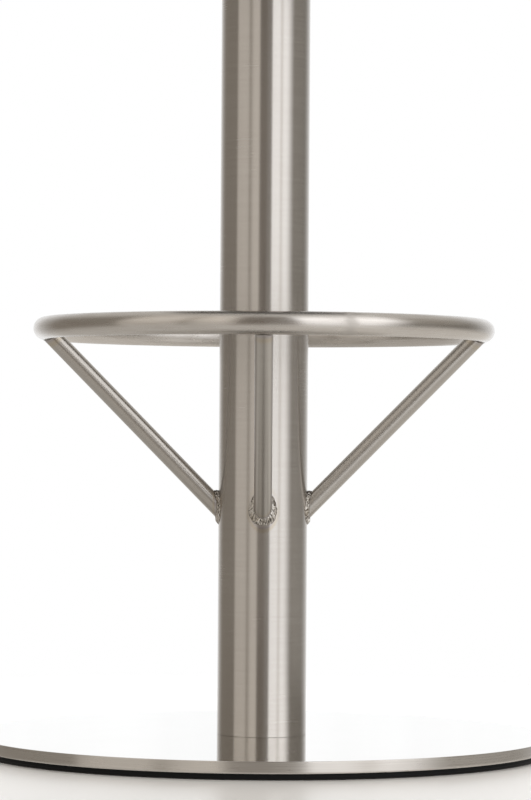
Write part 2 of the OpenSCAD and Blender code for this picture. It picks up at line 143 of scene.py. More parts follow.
# %% [markdown]
# Most marks on a real surface are longer one way than the other: brush lines, wood grain, turning marks. They can all
# be drawn by one noise whose space is squeezed, so that a bump of noise becomes a line of a given length and spacing.
# Two more helpers read as a maker would say it: a soft band between two values, and a value spread over a range.

# %% Patterns that several finishes share
def marks(tree, place, size, detail=3.0, rough=0.55):
    """Noise whose bumps are size long in x, y and z, in millimetres."""
    scale = tuple(1 / (MM * s) for s in size)
    squeezed = add_node(tree, "Mapping", {"Vector": place, "Scale": scale})
    return add_node(tree, "TexNoise", {"Vector": squeezed, "Scale": 1.0, "Detail": detail, "Roughness": rough})


def spread(tree, value, low, high, start, end):
    """Turns the range low to high into the range start to end."""
    return add_node(tree, "MapRange", {0: value, 1: low, 2: high, 3: start, 4: end})


def band(tree, value, low, high, soft):
    """One between low and high and nothing outside, with soft edges."""
    rise = add_node(tree, "MapRange", {0: value, 1: low - soft, 2: low + soft}, interpolation_type="SMOOTHSTEP")
    fall = add_node(tree, "MapRange", {0: value, 1: high - soft, 2: high + soft, 3: 1.0, 4: 0.0},
                    interpolation_type="SMOOTHSTEP")
    return add_node(tree, "Math", {0: rise, 1: fall}, operation="MULTIPLY")


print("grain of 0.5 mm is noise with", round(1 / (MM * 0.5)), "bumps a metre")

# %% [markdown]
# Nearly all of this stool is turned, bent or swept, so one way of making a mesh serves it: a row of closed sections,
# skinned with faces from one to the next. A turned piece is its outline repeated round the axis, a tube is a row of
# circles, and a weld bead is its little fillet carried round a joint. Blender's own tools then merge the
# points that meet on the axis and turn all faces outwards.

# %% Meshes from sections
SAME_POINT = 1e-7


def tidy(mesh, smooth=32):
    """Merges points that meet, turns the faces outwards and shades smooth up to an angle."""
    soup = bmesh.new()
    soup.from_mesh(mesh)
    bmesh.ops.remove_doubles(soup, verts=soup.verts, dist=SAME_POINT)
    bmesh.ops.recalc_face_normals(soup, faces=soup.faces)
    soup.to_mesh(mesh)
    soup.free()
    mesh.shade_smooth()
    mesh.set_sharp_from_angle(angle=radians(smooth))
    return mesh


def skin(name, sections, smooth=32, hollow=None):
    """A mesh over closed sections of points in millimetres, the last joined to the first.

    It takes one value a point for oxide and painted shade, which a finish can read."""
    mesh, n, k = bpy.data.meshes.new(name), len(sections), len(sections[0])
    faces = [
        (i * k + j, i * k + (j + 1) % k, (i + 1) % n * k + (j + 1) % k, (i + 1) % n * k + j)
        for i in range(n) for j in range(k)
    ]
    mesh.from_pydata([MM * Vector(p) for s in sections for p in s], [], faces)
    if hollow:
        mesh.attributes.new("hollow", "FLOAT", "POINT").data.foreach_set("value", hollow)
    return tidy(mesh, smooth)


def turned(name, outline, steps=192, smooth=32):
    """A mesh of an outline of (radius, height) turned about the stool's axis."""
    rounds = [2 * pi * i / steps for i in range(steps)]
    return skin(name, [[(r * cos(a), r * sin(a), z) for r, z in outline] for a in rounds], smooth)


trial = turned("trial_washer", [(9, 0), (10, 0), (10, 2), (9, 2)], 24)
print("a washer turned in 24 steps has", len(trial.polygons), "faces")
bpy.data.meshes.remove(trial)

# %% [markdown]
# Three more helpers shape those sections. Real edges are broken, so an outline's corners are eased by a little
# curve. A wire or a stitch is open, so its sections are joined along a line and closed at both ends. And handwork
# wanders: noise taken along a circle does too, and meets itself where it started.

# %% Eased corners, open sweeps and a wandering hand
ONTO_FLAT = 1.6


def eased(corners, steps=4):
    """An outline from corners (radius, height, ease). The ease is how far a corner is rounded along both sides."""
    outline = []
    for i, (x, z, ease) in enumerate(corners):
        here = Vector((x, z))
        if not ease:
            outline.append(tuple(here))
            continue
        before = (Vector(corners[i - 1][:2]) - here).normalized() * ease
        after = (Vector(corners[(i + 1) % len(corners)][:2]) - here).normalized() * ease
        # The first and last points lie a little further on, on the flat, so that flats shade flat up to the corner.
        curve = [here + before * (1 - s) ** 2 + after * s ** 2 for s in (k / steps for k in range(steps + 1))]
        outline += [tuple(p) for p in (here + before * ONTO_FLAT, *curve, here + after * ONTO_FLAT)]
    return outline


def sweep(soup, rings):
    """Adds closed rings of points in millimetres, joined along an open line and closed at both ends."""
    rings = [[soup.verts.new(MM * p) for p in ring] for ring in rings]
    for one, two in zip(rings, rings[1:]):
        for j in range(len(one)):
            soup.faces.new((one[j], one[(j + 1) % len(one)], two[(j + 1) % len(one)], two[j]))
    soup.faces.new(rings[0])
    soup.faces.new(rings[-1])


def wander(a, waves, seed):
    """Smooth noise between minus one and one at angle a on a circle. More waves make it quicker."""
    return noise.noise(Vector((waves * cos(a), waves * sin(a), seed)))


print("an eased corner has", len(eased([(0, 0, 0), (9, 0, 1), (9, 9, 0)])) - 2, "points")

# %% [markdown]
# A piece is a mesh with a finish, a body that it moves with, and the solids that it stands for. One function says
# all of that at once, so that no piece is left without any of it.

# %% Pieces
def piece(mesh, finish, body, slot, *stands_for, at=None):
    """An object of that mesh which wears a finish, rides on a body and stands for solids."""
    made = bpy.data.objects.new(mesh.name, mesh) if isinstance(mesh, bpy.types.Mesh) else mesh
    if made.name not in bpy.context.scene.collection.objects:
        bpy.context.scene.collection.objects.link(made)
    made.matrix_world = at or Matrix()
    if finish and not made.data.materials:
        made.data.materials.append(finish)
    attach(made, body)
    if stands_for:
        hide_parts(*stands_for)
    print(f"piece: {made.name}, {len(made.data.polygons)} faces, on the {body}")
    return made


def corners_of(node):
    """The lowest and highest corner of a solid, in millimetres."""
    low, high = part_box(node)
    return low / MM, high / MM


print("the column is", round(corners_of("column_tube")[1].z - corners_of("column_tube")[0].z), "mm long")

# %% [markdown]
# Blender's modifiers do some of the work: a boolean drills, a remesh evens out, a cloth swells. They need an object
# in the scene, and their result is baked into its mesh before it becomes a piece.

# %% Work on loose objects
def loose(mesh):
    """An object that is still being worked on, or that only helps to make another one."""
    made = bpy.data.objects.new(mesh.name, mesh)
    bpy.context.scene.collection.objects.link(made)
    return made


def baked(made):
    """Replaces an object's mesh by what its modifiers make of it."""
    shape = made.evaluated_get(bpy.context.evaluated_depsgraph_get())
    new = bpy.data.meshes.new_from_object(shape)
    made.modifiers.clear()
    new.name = made.name
    made.data = new
    return made


def drilled(made, outline, steps, spots):
    """Cuts a turned outline out of an object at each spot (x, y), as a drill would."""
    drills = [loose(turned("drill", outline, steps)) for _ in spots]
    for drill, (x, y) in zip(drills, spots):
        drill.location = MM * Vector((x, y, 0))
        cut = made.modifiers.new("hole", "BOOLEAN")
        cut.object, cut.solver = drill, "EXACT"
    baked(made)
    for drill in drills:
        bpy.data.objects.remove(drill)
    made.data.materials.clear()


# %% [markdown]
# Some shapes are gathered face by face in a bmesh, which then becomes a mesh. Others are made once, copied to
# several places and joined, as bolts and beads are.

# %% Gather and repeat
def mesh_of(soup, name):
    """A mesh of that name from a bmesh, which is then freed."""
    mesh = bpy.data.meshes.new(name)
    soup.to_mesh(mesh)
    soup.free()
    return mesh


def repeated(mesh, name, places, smooth):
    """One mesh of the same mesh at each place, which is a matrix in metres."""
    soup = bmesh.new()
    for place in places:
        copy = mesh.copy()
        copy.transform(place)
        soup.from_mesh(copy)
        bpy.data.meshes.remove(copy)
    return tidy(mesh_of(soup, name), smooth)


trial = turned("trial_pin", [(0, 0), (1, 0), (1, 5), (0, 5)], 12)
three = repeated(trial, "three_pins", [Matrix.Translation(MM * Vector((x, 0, 0))) for x in (0, 4, 8)], 32)
print("a pin has", len(trial.polygons), "faces and three of them have", len(three.polygons))
bpy.data.meshes.remove(trial)
bpy.data.meshes.remove(three)

# %% [markdown]
# The sizes that the pieces need are read from the solids, so that both stay together. The few that a box can't
# give are the ones a drawing would note beside the part: the tube sizes and the drop of a strut.

# %% Sizes of the stool
plate_low, plate_high = corners_of("base_plate")
column_low, column_high = corners_of("column_tube")
ring_low, ring_high = corners_of("foot_ring")
base_r, plate_z = plate_high.x, plate_high.z
column_r, column_top = column_high.x, column_high.z
RING_TUBE_R, STRUT_R, STRUT_DROP = 9.5, 7.5, 152.0
ring_r = ring_high.x - RING_TUBE_R
ring_z = round((ring_low.z + ring_high.z) / 2, 2)
foot_z = ring_z - STRUT_DROP
strut_run = ring_r - column_r
tilt = atan2(STRUT_DROP, strut_run)
print(f"column {2 * column_r:.1f}, ring {2 * ring_r:.1f} at {ring_z:.0f}, struts at {degrees(tilt):.1f} degrees")

# %% [markdown]
# The photograph was taken with a long lens from 2.84 m away, low down, and shows only the lower part of the stool.
# A camera fitted to the edges of the column, the ring and the plate stands 268 mm above the floor, looks up by two
# thirds of a degree and leans by a third. Its place and angles are written here as they came from that fit.

# %% Camera
CAMERA_AWAY, CAMERA_HEIGHT, CAMERA_LENS, SENSOR_W = 2843.1, 268.0, 149.48, 36
LOOKS_UP, LOOKS_RIGHT, LEANS = radians(0.651), radians(0.033), radians(0.381)

forward = Vector((sin(LOOKS_RIGHT) * cos(LOOKS_UP), cos(LOOKS_RIGHT) * cos(LOOKS_UP), sin(LOOKS_UP)))
level = Vector((cos(LOOKS_RIGHT), -sin(LOOKS_RIGHT), 0))
upward = level.cross(forward)
right = level * cos(LEANS) + upward * sin(LEANS)
upright = upward * cos(LEANS) - level * sin(LEANS)
view = bpy.data.cameras.new("photo_camera")
view.lens, view.sensor_width = CAMERA_LENS, SENSOR_W
view.clip_end = 50  # metres, well past the floor's far edge
camera = bpy.data.objects.new("photo_camera", view)
bpy.context.scene.collection.objects.link(camera)
camera.matrix_world = Matrix.Translation(MM * Vector((0, -CAMERA_AWAY, CAMERA_HEIGHT))) @ Matrix(
    (right, upright, -forward)).transposed().to_4x4()
bpy.context.scene.camera = camera
print("the camera stands at", [round(x, 3) for x in camera.location])

# %% [markdown]
# Polished steel has no look of its own: it shows the studio. In the photograph the column carries the same stripes
# from top to bottom, and each stripe is a thing that stood round it. A world that gives light by direction can hold
# them all, so the stripes stay the same at every height, and diffuse surfaces get the same light that the steel
# mirrors. Two numbers say where a direction points: turn is how far it lies round the stool from the camera's side,
# positive to the right, and height is how far it points up. Both are in degrees.

# %% Directions in the studio
world = bpy.data.worlds.new("studio")
world.use_nodes = True
bpy.context.scene.world = world
tree = world.node_tree
tree.nodes.clear()
way = add_node(tree, "SeparateXYZ", {0: add_node(tree, "TexCoord").outputs["Generated"]})
toward_camera = add_node(tree, "Math", {0: way.outputs["Y"], 1: -1.0}, operation="MULTIPLY")
azimuth = add_node(tree, "Math", {0: way.outputs["X"], 1: toward_camera}, operation="ARCTAN2")
turn = add_node(tree, "Math", {0: azimuth}, operation="DEGREES")
height = add_node(tree, "Math", {0: add_node(tree, "Math", {0: way.outputs["Z"]}, operation="ARCSINE")},
                  operation="DEGREES")
print("turn and height take", len(tree.nodes), "nodes")

# %% [markdown]
# Reading the stripes from edge to edge gives the white backdrop behind, two dark side walls, a soft box left and a
# brighter one right of the camera, and a dark gap where the camera stood. They are written as a list, and each row
# covers what the rows before it left there. The walls are even, but the soft boxes are brighter high up than low
# down. A few rows have more to say. Lean is how many degrees of turn an edge shifts with each degree of height, and
# rise is how many times brighter a thing is above 22 degrees than below 5.

# %% Walls and soft boxes
LEFT_WALL, ALL_THE_WAY, STRAIGHT_UP, TOP_SOFT = "#938c83", 200, 90, 5
# Name, turn from and to, soft edge, height of its top, colour, strength, lean, rise. A soft box ends below 90.
STUDIO = (
    ("right wall", 60, 240, 8, ALL_THE_WAY, "#85817b", 1.0, 0, 1.4),
    ("backdrop's right half", 146, 300, 30, ALL_THE_WAY, "#fdfeff", 1.13, 0, 1),
    ("backdrop's left half", -300, -150, 28, ALL_THE_WAY, "#fdfeff", 1.13, 0, 1),
    ("camera side", -16, 18, 1.5, ALL_THE_WAY, "#847c74", 1.0, 0, 1),
    ("wall right of the camera", 5, 17, 4, ALL_THE_WAY, "#98938d", 1.0, 0, 1),
    ("left soft box", -77, -15.4, 1.8, 70, "#d0cac2", 1.0, 0, 1),
    ("its nearer half", -30, -15.4, 4, 70, "#d9d3cb", 1.0, 0, 1),
    ("stand before the left box", -42.5, -36.5, 5, 70, "#958e85", 1.0, 0, 1),
    ("right soft box", 17.4, 90, 1.3, 78, "#fefeff", 1.3, 0, 1),
    ("its dimmer side", 66.5, 120, 13, 78, "#817d77", 0.95, 0.35, 1.5),
    ("stand before the right box", 41, 45, 5, 78, "#dfdbd6", 1.0, 0, 1),
)


def brightened(colour, times):
    """A colour of three parts, made that many times brighter."""
    return add_node(tree, "VectorMath", {0: colour, "Scale": times}, operation="SCALE")


higher = spread(tree, height, -30, 30, 0.7, 1.46)
light = add_node(tree, "RGB").outputs[0]
light.default_value = paint(LEFT_WALL)
for _, start, end, soft, top, colour, strength, lean, rise in STUDIO:
    leaned = add_node(tree, "Math", {0: height, 1: -lean, 2: turn}, operation="MULTIPLY_ADD")
    in_turn, in_height = band(tree, leaned, start, end, soft), band(tree, height, -ALL_THE_WAY, top, TOP_SOFT)
    where = add_node(tree, "Math", {0: in_turn, 1: in_height}, operation="MULTIPLY")
    times = higher if top < STRAIGHT_UP else 1.0
    if rise > 1:
        times = add_node(tree, "Math", {0: times, 1: spread(tree, height, 5, 22, 1, rise)}, operation="MULTIPLY")
    glow = brightened([strength * c for c in paint(colour)[:3]], times)
    light = add_node(tree, "Mix", {"Factor": where, "A": light, "B": glow}, data_type="RGBA")
print(len(STUDIO), "things stand round the stool")

# %% [markdown]
# Nothing in a studio is quite even, so slow folds run over the walls and boxes. The ceiling is above and the floor
# below, as steel shows them. The ceiling comes lower down behind the stool, and the floor is brighter on the right
# and reaches higher there. The camera itself sees plain white, and so does light that passes through a
# clear surface. Steel sees the studio, whose backdrop is white as well.

# %% Folds, ceiling, floor and backdrop
CEILING, CEILING_FROM, CEILING_SOFT, LOWER_BEHIND = "#dbd8d3", 56, 9, 24
FLOOR_BELOW, FLOOR_TO, FLOOR_SOFT, HIGHER_RIGHT = "#dcd8d2", -20, 7, 11
FOLD_W = 4000  # The helper counts thousandths, so a fold is 4 degrees wide.

folds = marks(tree, add_node(tree, "CombineXYZ", {0: turn}), (FOLD_W, FOLD_W, FOLD_W), detail=4.0)
light = brightened(light, spread(tree, folds, 0.3, 0.7, 0.94, 1.06))
behind = spread(tree, add_node(tree, "Math", {0: turn}, operation="ABSOLUTE"), 90, 130, 0, LOWER_BEHIND)
over = add_node(tree, "Math", {0: height, 1: behind}, operation="ADD")
below = add_node(tree, "Math", {0: height, 1: spread(tree, turn, 30, 90, 0, HIGHER_RIGHT)}, operation="SUBTRACT")
light = add_node(tree, "Mix", {"Factor": band(tree, over, CEILING_FROM, ALL_THE_WAY, CEILING_SOFT), "A": light,
                               "B": paint(CEILING)}, data_type="RGBA")
lit_floor = brightened(paint(FLOOR_BELOW)[:3], spread(tree, turn, -60, 60, 0.88, 1.12))
light = add_node(tree, "Mix", {"Factor": band(tree, below, -ALL_THE_WAY, FLOOR_TO, FLOOR_SOFT), "A": light,
                               "B": lit_floor}, data_type="RGBA")
rays = add_node(tree, "LightPath")
seen = add_node(tree, "Math", {0: rays.outputs["Is Camera Ray"], 1: rays.outputs["Is Transmission Ray"]},
                operation="MAXIMUM")
sky = add_node(tree, "Mix", {"Factor": seen, "A": light, "B": (1, 1, 1, 1)}, data_type="RGBA")
add_node(tree, "OutputWorld", {"Surface": add_node(tree, "Background", {"Color": sky, "Strength": 1.0})})
print("the studio holds", len(tree.nodes), "nodes")

# %% [markdown]
# The world gives about two thirds of the light that a colour needs to come out as it is written. A wide lamp above and
# behind adds the rest, so the seat's soft shadow falls in front of the plate, as in the photograph. A low, long one
# is the glow of the backdrop along the floor, which darkens the floor close to the plate's front. A weak one fills
# the front. Steel doesn't mirror them, because the world already holds everything that it shows.

# %% Lamps
# Name, where it hangs, width and height in metres, and its watts.
LAMPS = (("key_lamp", (0.1, 1.3, 2.3), 1.0, 1.0, 30), ("backdrop_glow", (0, 2.1, 0.45), 3.2, 0.6, 50),
         ("fill_lamp", (-1.2, -1.6, 1.7), 1.6, 1.6, 5))
MIDDLE_OF_STOOL = Vector((0, 0, 0.4))

for name, spot, wide, high, power in LAMPS:
    lamp = bpy.data.lights.new(name, "AREA")
    lamp.shape = "RECTANGLE"
    lamp.energy, lamp.size, lamp.size_y = power, wide, high
    holder = bpy.data.objects.new(name, lamp)
    holder.location = spot
    holder.rotation_euler = (MIDDLE_OF_STOOL - Vector(spot)).to_track_quat("-Z", "Y").to_euler()
    holder.visible_camera = holder.visible_glossy = False
    bpy.context.scene.collection.objects.link(holder)
print(len(LAMPS), "lamps give", sum(row[-1] for row in LAMPS), "watts")

# %% [markdown]
# The floor of the photograph is pale and varnished, and fades into the white backdrop. Seen so flatly it mirrors a
# little: the backdrop behind the plate, which whitens it there, and the plate's dark edge and the column in front.
# A plain disc with a satin varnish does the same near the stool, and turns clear further out, where the white world
# shows through. It is clear from below too, so that the stool can be looked at from there. Steel shows the
# world's floor and not this disc, so that the column's stripes run down to the plate.

# %% Floor
FLOOR_R, FULL_R, CLEAR_R = 3000, 330, 950

floor_paint, tree, place = start_finish("pale_studio_floor")
away = add_node(tree, "VectorMath", {0: place}, operation="LENGTH").outputs["Value"]
clear = add_node(tree, "MapRange", {0: away, 1: MM * FULL_R, 2: MM * CLEAR_R}, interpolation_type="SMOOTHSTEP")
under = add_node(tree, "NewGeometry").outputs["Backfacing"]
gone = add_node(tree, "Math", {0: clear, 1: under}, operation="MAXIMUM")
satin = add_node(tree, "BsdfPrincipled", {"Base Color": paint("#e3e1de"), "Roughness": 0.3, "IOR": 1.5})
end_finish(tree, add_node(tree, "MixShader", {0: gone, 1: satin, 2: add_node(tree, "BsdfTransparent")}))

soup = bmesh.new()
bmesh.ops.create_circle(soup, cap_ends=True, segments=96, radius=MM * FLOOR_R)
floor = loose(mesh_of(soup, "floor"))
floor.data.materials.append(floor_paint)
floor.visible_glossy = False
floor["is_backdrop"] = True
print("the floor fades from", FULL_R, "to", CLEAR_R, "mm")

# %% [markdown]
# Welding heat leaves a ring of straw and violet oxide round a bead. To draw it, a finish has to know how far each
# point lies from a bead. On the column the beads' outlines are taller than wide, so height counts for less. On a
# strut, whose own Z runs up from its foot, the foot bead lies at an angle across the tube and the head bead on the
# ring. The legs are the two short sides of a bead's section.

# %% Distance from a bead
FOOT_LEG, HEAD_LEG, FOOT_BEAD_UP = 3.6, 1.2, 3.8


def away_from_feet(tree, place):
    """On the column: how far a point lies outside the nearest foot bead."""
    folded = add_node(tree, "VectorMath", {0: place}, operation="ABSOLUTE")
    nearest = None
    for spot in ((column_r, 0), (0, column_r)):
        off = add_node(tree, "VectorMath", {0: folded, 1: (MM * spot[0], MM * spot[1], MM * foot_z)},
                       operation="SUBTRACT")
        squashed = add_node(tree, "VectorMath", {0: off, 1: (1, 1, cos(tilt))}, operation="MULTIPLY")
        far = add_node(tree, "VectorMath", {0: squashed}, operation="LENGTH").outputs["Value"]
        nearest = far if nearest is None else add_node(tree, "Math", {0: nearest, 1: far}, operation="MINIMUM")
    return add_node(tree, "Math", {0: nearest, 1: MM * (STRUT_R + FOOT_LEG)}, operation="SUBTRACT")


def away_from_ends(tree, place):
    """On a strut: how far a point lies above its foot bead or below the ring, whose tint is twice as wide."""
    part = add_node(tree, "SeparateXYZ", {0: place})
    level_up = add_node(tree, "Math", {0: part.outputs["Z"], 1: part.outputs["X"]}, operation="SUBTRACT")
    above = add_node(tree, "Math", {0: level_up, 1: MM * FOOT_BEAD_UP}, operation="SUBTRACT")
    down = add_node(tree, "Math", {0: part.outputs["Z"], 1: MM * hypot(strut_run, STRUT_DROP)}, operation="SUBTRACT")
    off = add_node(tree, "CombineXYZ", {0: part.outputs["X"], 1: down})
    far = add_node(tree, "VectorMath", {0: off}, operation="LENGTH").outputs["Value"]
    below = add_node(tree, "Math", {0: far, 1: MM * (RING_TUBE_R + HEAD_LEG)}, operation="SUBTRACT")
    half = add_node(tree, "Math", {0: below, 1: 0.5}, operation="MULTIPLY")
    return add_node(tree, "Math", {0: above, 1: half}, operation="MINIMUM")


print("a strut's axis is", round(hypot(strut_run, STRUT_DROP), 1), "mm long")

# %% [markdown]
# Brushed stainless tube, grade 304. A belt runs round the tube while it turns and leaves fine rings of
# scratches. Their lines lie round the tube, so light spreads up and down over them and hardly sideways, which is why
# the stripes on the column have sharp edges but no start or end. Anisotropy does this: the tangent runs round the
# tube, and a quarter turn points the spread along it. The belt marks are about 0.3 mm apart, which is less than a
# pixel, so they are drawn 1.1 mm apart. The thin struts were brushed by hand, which leaves them rougher and their
# stripes softer. Their steel is drawn a little darker than the column's: painted shade, so that they look less lit.

# %% Brushed steel
BELT_SPACING, BELT_LENGTH, TINT_SOFT = 1.1, 38, 1.0
# Where the oxide starts and ends outside a bead, its colour and how much of it there is at most.
TINTS = ((0.9, 3.2, "#b09a6a", 0.26), (-0.5, 0.9, "#8d8190", 0.32))


def brushed_tube(name, heat, deep, shades, rough, stretch):
    """Steel tube brushed round its own Z axis, with marks so deep. heat gives how far a point is from a bead."""
    material, tree, place = start_finish(name)
    lines = marks(tree, place, (BELT_LENGTH, BELT_LENGTH, BELT_SPACING))
    patches = marks(tree, place, (30, 30, 55), detail=2.0)
    colour = add_node(tree, "Mix", {"Factor": spread(tree, lines, 0.3, 0.7, 0, 1), "A": paint(shades[0]),
                                    "B": paint(shades[1])}, data_type="RGBA")
    away = heat(tree, place)
    for low, high, tint, share in TINTS:
        ring = band(tree, away, MM * low, MM * high, MM * TINT_SOFT)
        uneven = add_node(tree, "Math", {0: ring, 1: spread(tree, patches, 0.4, 0.62, 0, share)},
                          operation="MULTIPLY")
        colour = add_node(tree, "Mix", {"Factor": uneven, "A": colour, "B": paint(tint)}, data_type="RGBA")
    sheen = add_node(tree, "Math", {0: spread(tree, lines, 0.3, 0.7, rough, rough + 0.025),
                                    1: spread(tree, patches, 0.3, 0.7, -0.01, 0.02)}, operation="ADD")
    relief = add_node(tree, "Bump", {"Height": lines, "Strength": 0.4, "Distance": MM * deep})
    round_it = add_node(tree, "Tangent", direction_type="RADIAL", axis="Z")
    end_finish(tree, add_node(tree, "BsdfPrincipled", {
        "Base Color": colour, "Metallic": 1.0, "Roughness": sheen, "Anisotropic": stretch,
        "Anisotropic Rotation": 0.25, "Normal": relief, "Tangent": round_it}))
    return material


column_steel = brushed_tube("brushed_stainless_column", away_from_feet, 0.006, ("#c4bfba", "#c9c5c0"), 0.235, 0.95)
# The struts' shades are darker than the column's: painted shade.
strut_steel = brushed_tube("brushed_stainless_strut", away_from_ends, 0.0015, ("#b7b2ac", "#bcb8b2"), 0.31, 0.88)

# %% [markdown]
# Satin stainless ring. The ring was bent from straight tube and finished by hand with a soft wheel that ran along
# it. Its marks lie along the tube, so light spreads round its section: dark patches have sharp ends and fade up and
# down. The ends of the tube were butted and welded at one place, right of the front, and ground flush, which leaves
# a duller smudge with ragged edges. The marks follow the ring, so their noise is drawn over the angle round the
# stool.

# %% Satin steel
RING_WELD_TURN, RING_WELD_HALF = radians(20.8), 3.5
SMUDGE_SOFT, SMUDGE_RAGGED, SMUDGE_SHADE, SMUDGE_DULL = 4, 4, 0.22, 0.16

ring_steel, tree, place = start_finish("satin_stainless_ring")
part = add_node(tree, "SeparateXYZ", {0: place})
ring_turn = add_node(tree, "Math", {0: part.outputs["X"], 1: part.outputs["Y"]}, operation="ARCTAN2")
out = add_node(tree, "VectorMath", {0: add_node(tree, "CombineXYZ", {0: part.outputs["X"], 1: part.outputs["Y"]})},
               operation="LENGTH").outputs["Value"]
arc = add_node(tree, "Math", {0: ring_turn, 1: MM * ring_r}, operation="MULTIPLY")
unrolled = add_node(tree, "CombineXYZ", {0: arc, 1: out, 2: part.outputs["Z"]})
wheel = marks(tree, unrolled, (26, 1.4, 1.4))
clouds = marks(tree, place, (22, 22, 9), detail=2.0)
past = add_node(tree, "Math", {0: arc, 1: MM * ring_r * (pi - RING_WELD_TURN)}, operation="SUBTRACT")
from_butt = add_node(tree, "Math", {0: past}, operation="ABSOLUTE")
ragged = add_node(tree, "Math", {0: from_butt, 1: spread(tree, clouds, 0.3, 0.7, -MM * SMUDGE_RAGGED,
                                                          MM * SMUDGE_RAGGED)}, operation="ADD")
ground = band(tree, ragged, -1, MM * RING_WELD_HALF, MM * SMUDGE_SOFT)
colour = add_node(tree, "Mix", {"Factor": spread(tree, wheel, 0.3, 0.7, 0, 1), "A": paint("#c4beb8"),
                                "B": paint("#ccc8c3")}, data_type="RGBA")
colour = add_node(tree, "Mix", {"Factor": add_node(tree, "Math", {0: ground, 1: SMUDGE_SHADE}, operation="MULTIPLY"),
                                "A": colour, "B": paint("#948e86")}, data_type="RGBA")
sheen = add_node(tree, "Math", {0: spread(tree, clouds, 0.3, 0.7, 0.25, 0.30),
                                1: add_node(tree, "Math", {0: ground, 1: SMUDGE_DULL}, operation="MULTIPLY")},
                 operation="ADD")
relief = add_node(tree, "Bump", {"Height": wheel, "Strength": 0.35, "Distance": MM * 0.01})
round_it = add_node(tree, "Tangent", direction_type="RADIAL", axis="Z")
end_finish(tree, add_node(tree, "BsdfPrincipled", {
    "Base Color": colour, "Metallic": 1.0, "Roughness": sheen, "Anisotropic": 0.88, "Anisotropic Rotation": 0.25,
    "Normal": relief, "Tangent": round_it}))

# %% [markdown]
# The base plate's faces are polished to a mirror, which shows the column upside down and the white studio, with
# only a breath of haze and a few wipe marks.

# %% Mirror polish
plate_polish, tree, place = start_finish("mirror_polished_stainless")
haze = marks(tree, place, (45, 45, 45), detail=4.0)
wipes = marks(tree, place, (60, 4, 60), detail=2.0)
sheen = add_node(tree, "Math", {0: spread(tree, haze, 0.3, 0.7, 0.03, 0.07),
                                1: spread(tree, wipes, 0.45, 0.8, 0, 0.02)}, operation="ADD")
colour = add_node(tree, "Mix", {"Factor": haze, "A": paint("#d6d4d0"), "B": paint("#dedcd9")}, data_type="RGBA")
end_finish(tree, add_node(tree, "BsdfPrincipled", {"Base Color": colour, "Metallic": 1.0, "Roughness": sheen}))

# %% [markdown]
# The plate's edge was turned on a lathe, so fine grooves run round it and spread the light up and down, as on the
# column. It is the same steel as the faces: only the roughness and the direction of the marks differ. The
# grooves are about 0.2 mm apart and are drawn 0.7 mm apart.

# %% Turned edge
edge_steel, tree, place = start_finish("turned_stainless_edge")
grooves = marks(tree, place, (60, 60, 0.7))
patches = marks(tree, place, (24, 24, 10), detail=2.0)
colour = add_node(tree, "Mix", {"Factor": spread(tree, grooves, 0.3, 0.7, 0, 1), "A": paint("#c8c3be"),
                                "B": paint("#d4d0ca")}, data_type="RGBA")
sheen = add_node(tree, "Math", {0: spread(tree, grooves, 0.3, 0.7, 0.26, 0.33),
                                1: spread(tree, patches, 0.3, 0.7, -0.03, 0.04)}, operation="ADD")
relief = add_node(tree, "Bump", {"Height": grooves, "Strength": 0.5, "Distance": MM * 0.03})
round_it = add_node(tree, "Tangent", direction_type="RADIAL", axis="Z")
end_finish(tree, add_node(tree, "BsdfPrincipled", {
    "Base Color": colour, "Metallic": 1.0, "Roughness": sheen, "Anisotropic": 1.0, "Anisotropic Rotation": 0.25,
    "Normal": relief, "Tangent": round_it}))

# %% [markdown]
# Weld metal is cast, not brushed. A TIG bead of stainless steel cools in ripples that the mesh carries. The wire
# brush that cleans it reaches the crests, which shine, but leaves dark oxide in the hollows. Painted shade darkens the
# hollows further, as well as both toes of a bead and the sharp corner above each strut. The mesh of a bead says how
# much oxide and painted shade each point has, and the finish reads that value. The skin of the metal has wrinkles of
# about 0.3 mm, drawn at 0.9 mm.

# %% Weld metal
weld_steel, tree, place = start_finish("tig_weld_stainless")
skin_marks = marks(tree, place, (0.9, 0.9, 0.9), detail=4.0)
oxide = marks(tree, place, (7, 7, 7), detail=2.0)
hollow = add_node(tree, "Attribute", attribute_name="hollow").outputs["Fac"]
colour = add_node(tree, "Mix", {"Factor": spread(tree, skin_marks, 0.35, 0.6, 0, 1), "A": paint("#b0a9a1"),
                                "B": paint("#d6d2cc")}, data_type="RGBA")
colour = add_node(tree, "Mix", {"Factor": spread(tree, oxide, 0.5, 0.7, 0, 0.25), "A": colour,
                                "B": paint("#a58f66")}, data_type="RGBA")
# The mesh's value darkens the bead: oxide and painted shade in the hollows, and painted shade along the toes and in
# the corners.
colour = add_node(tree, "Mix", {"Factor": hollow, "A": colour, "B": paint("#3b3430")}, data_type="RGBA")
relief = add_node(tree, "Bump", {"Height": skin_marks, "Strength": 0.5, "Distance": MM * 0.08})
end_finish(tree, add_node(tree, "BsdfPrincipled", {
    "Base Color": colour, "Metallic": 1.0, "Roughness": spread(tree, skin_marks, 0.3, 0.7, 0.14, 0.26),
    "Normal": relief}))
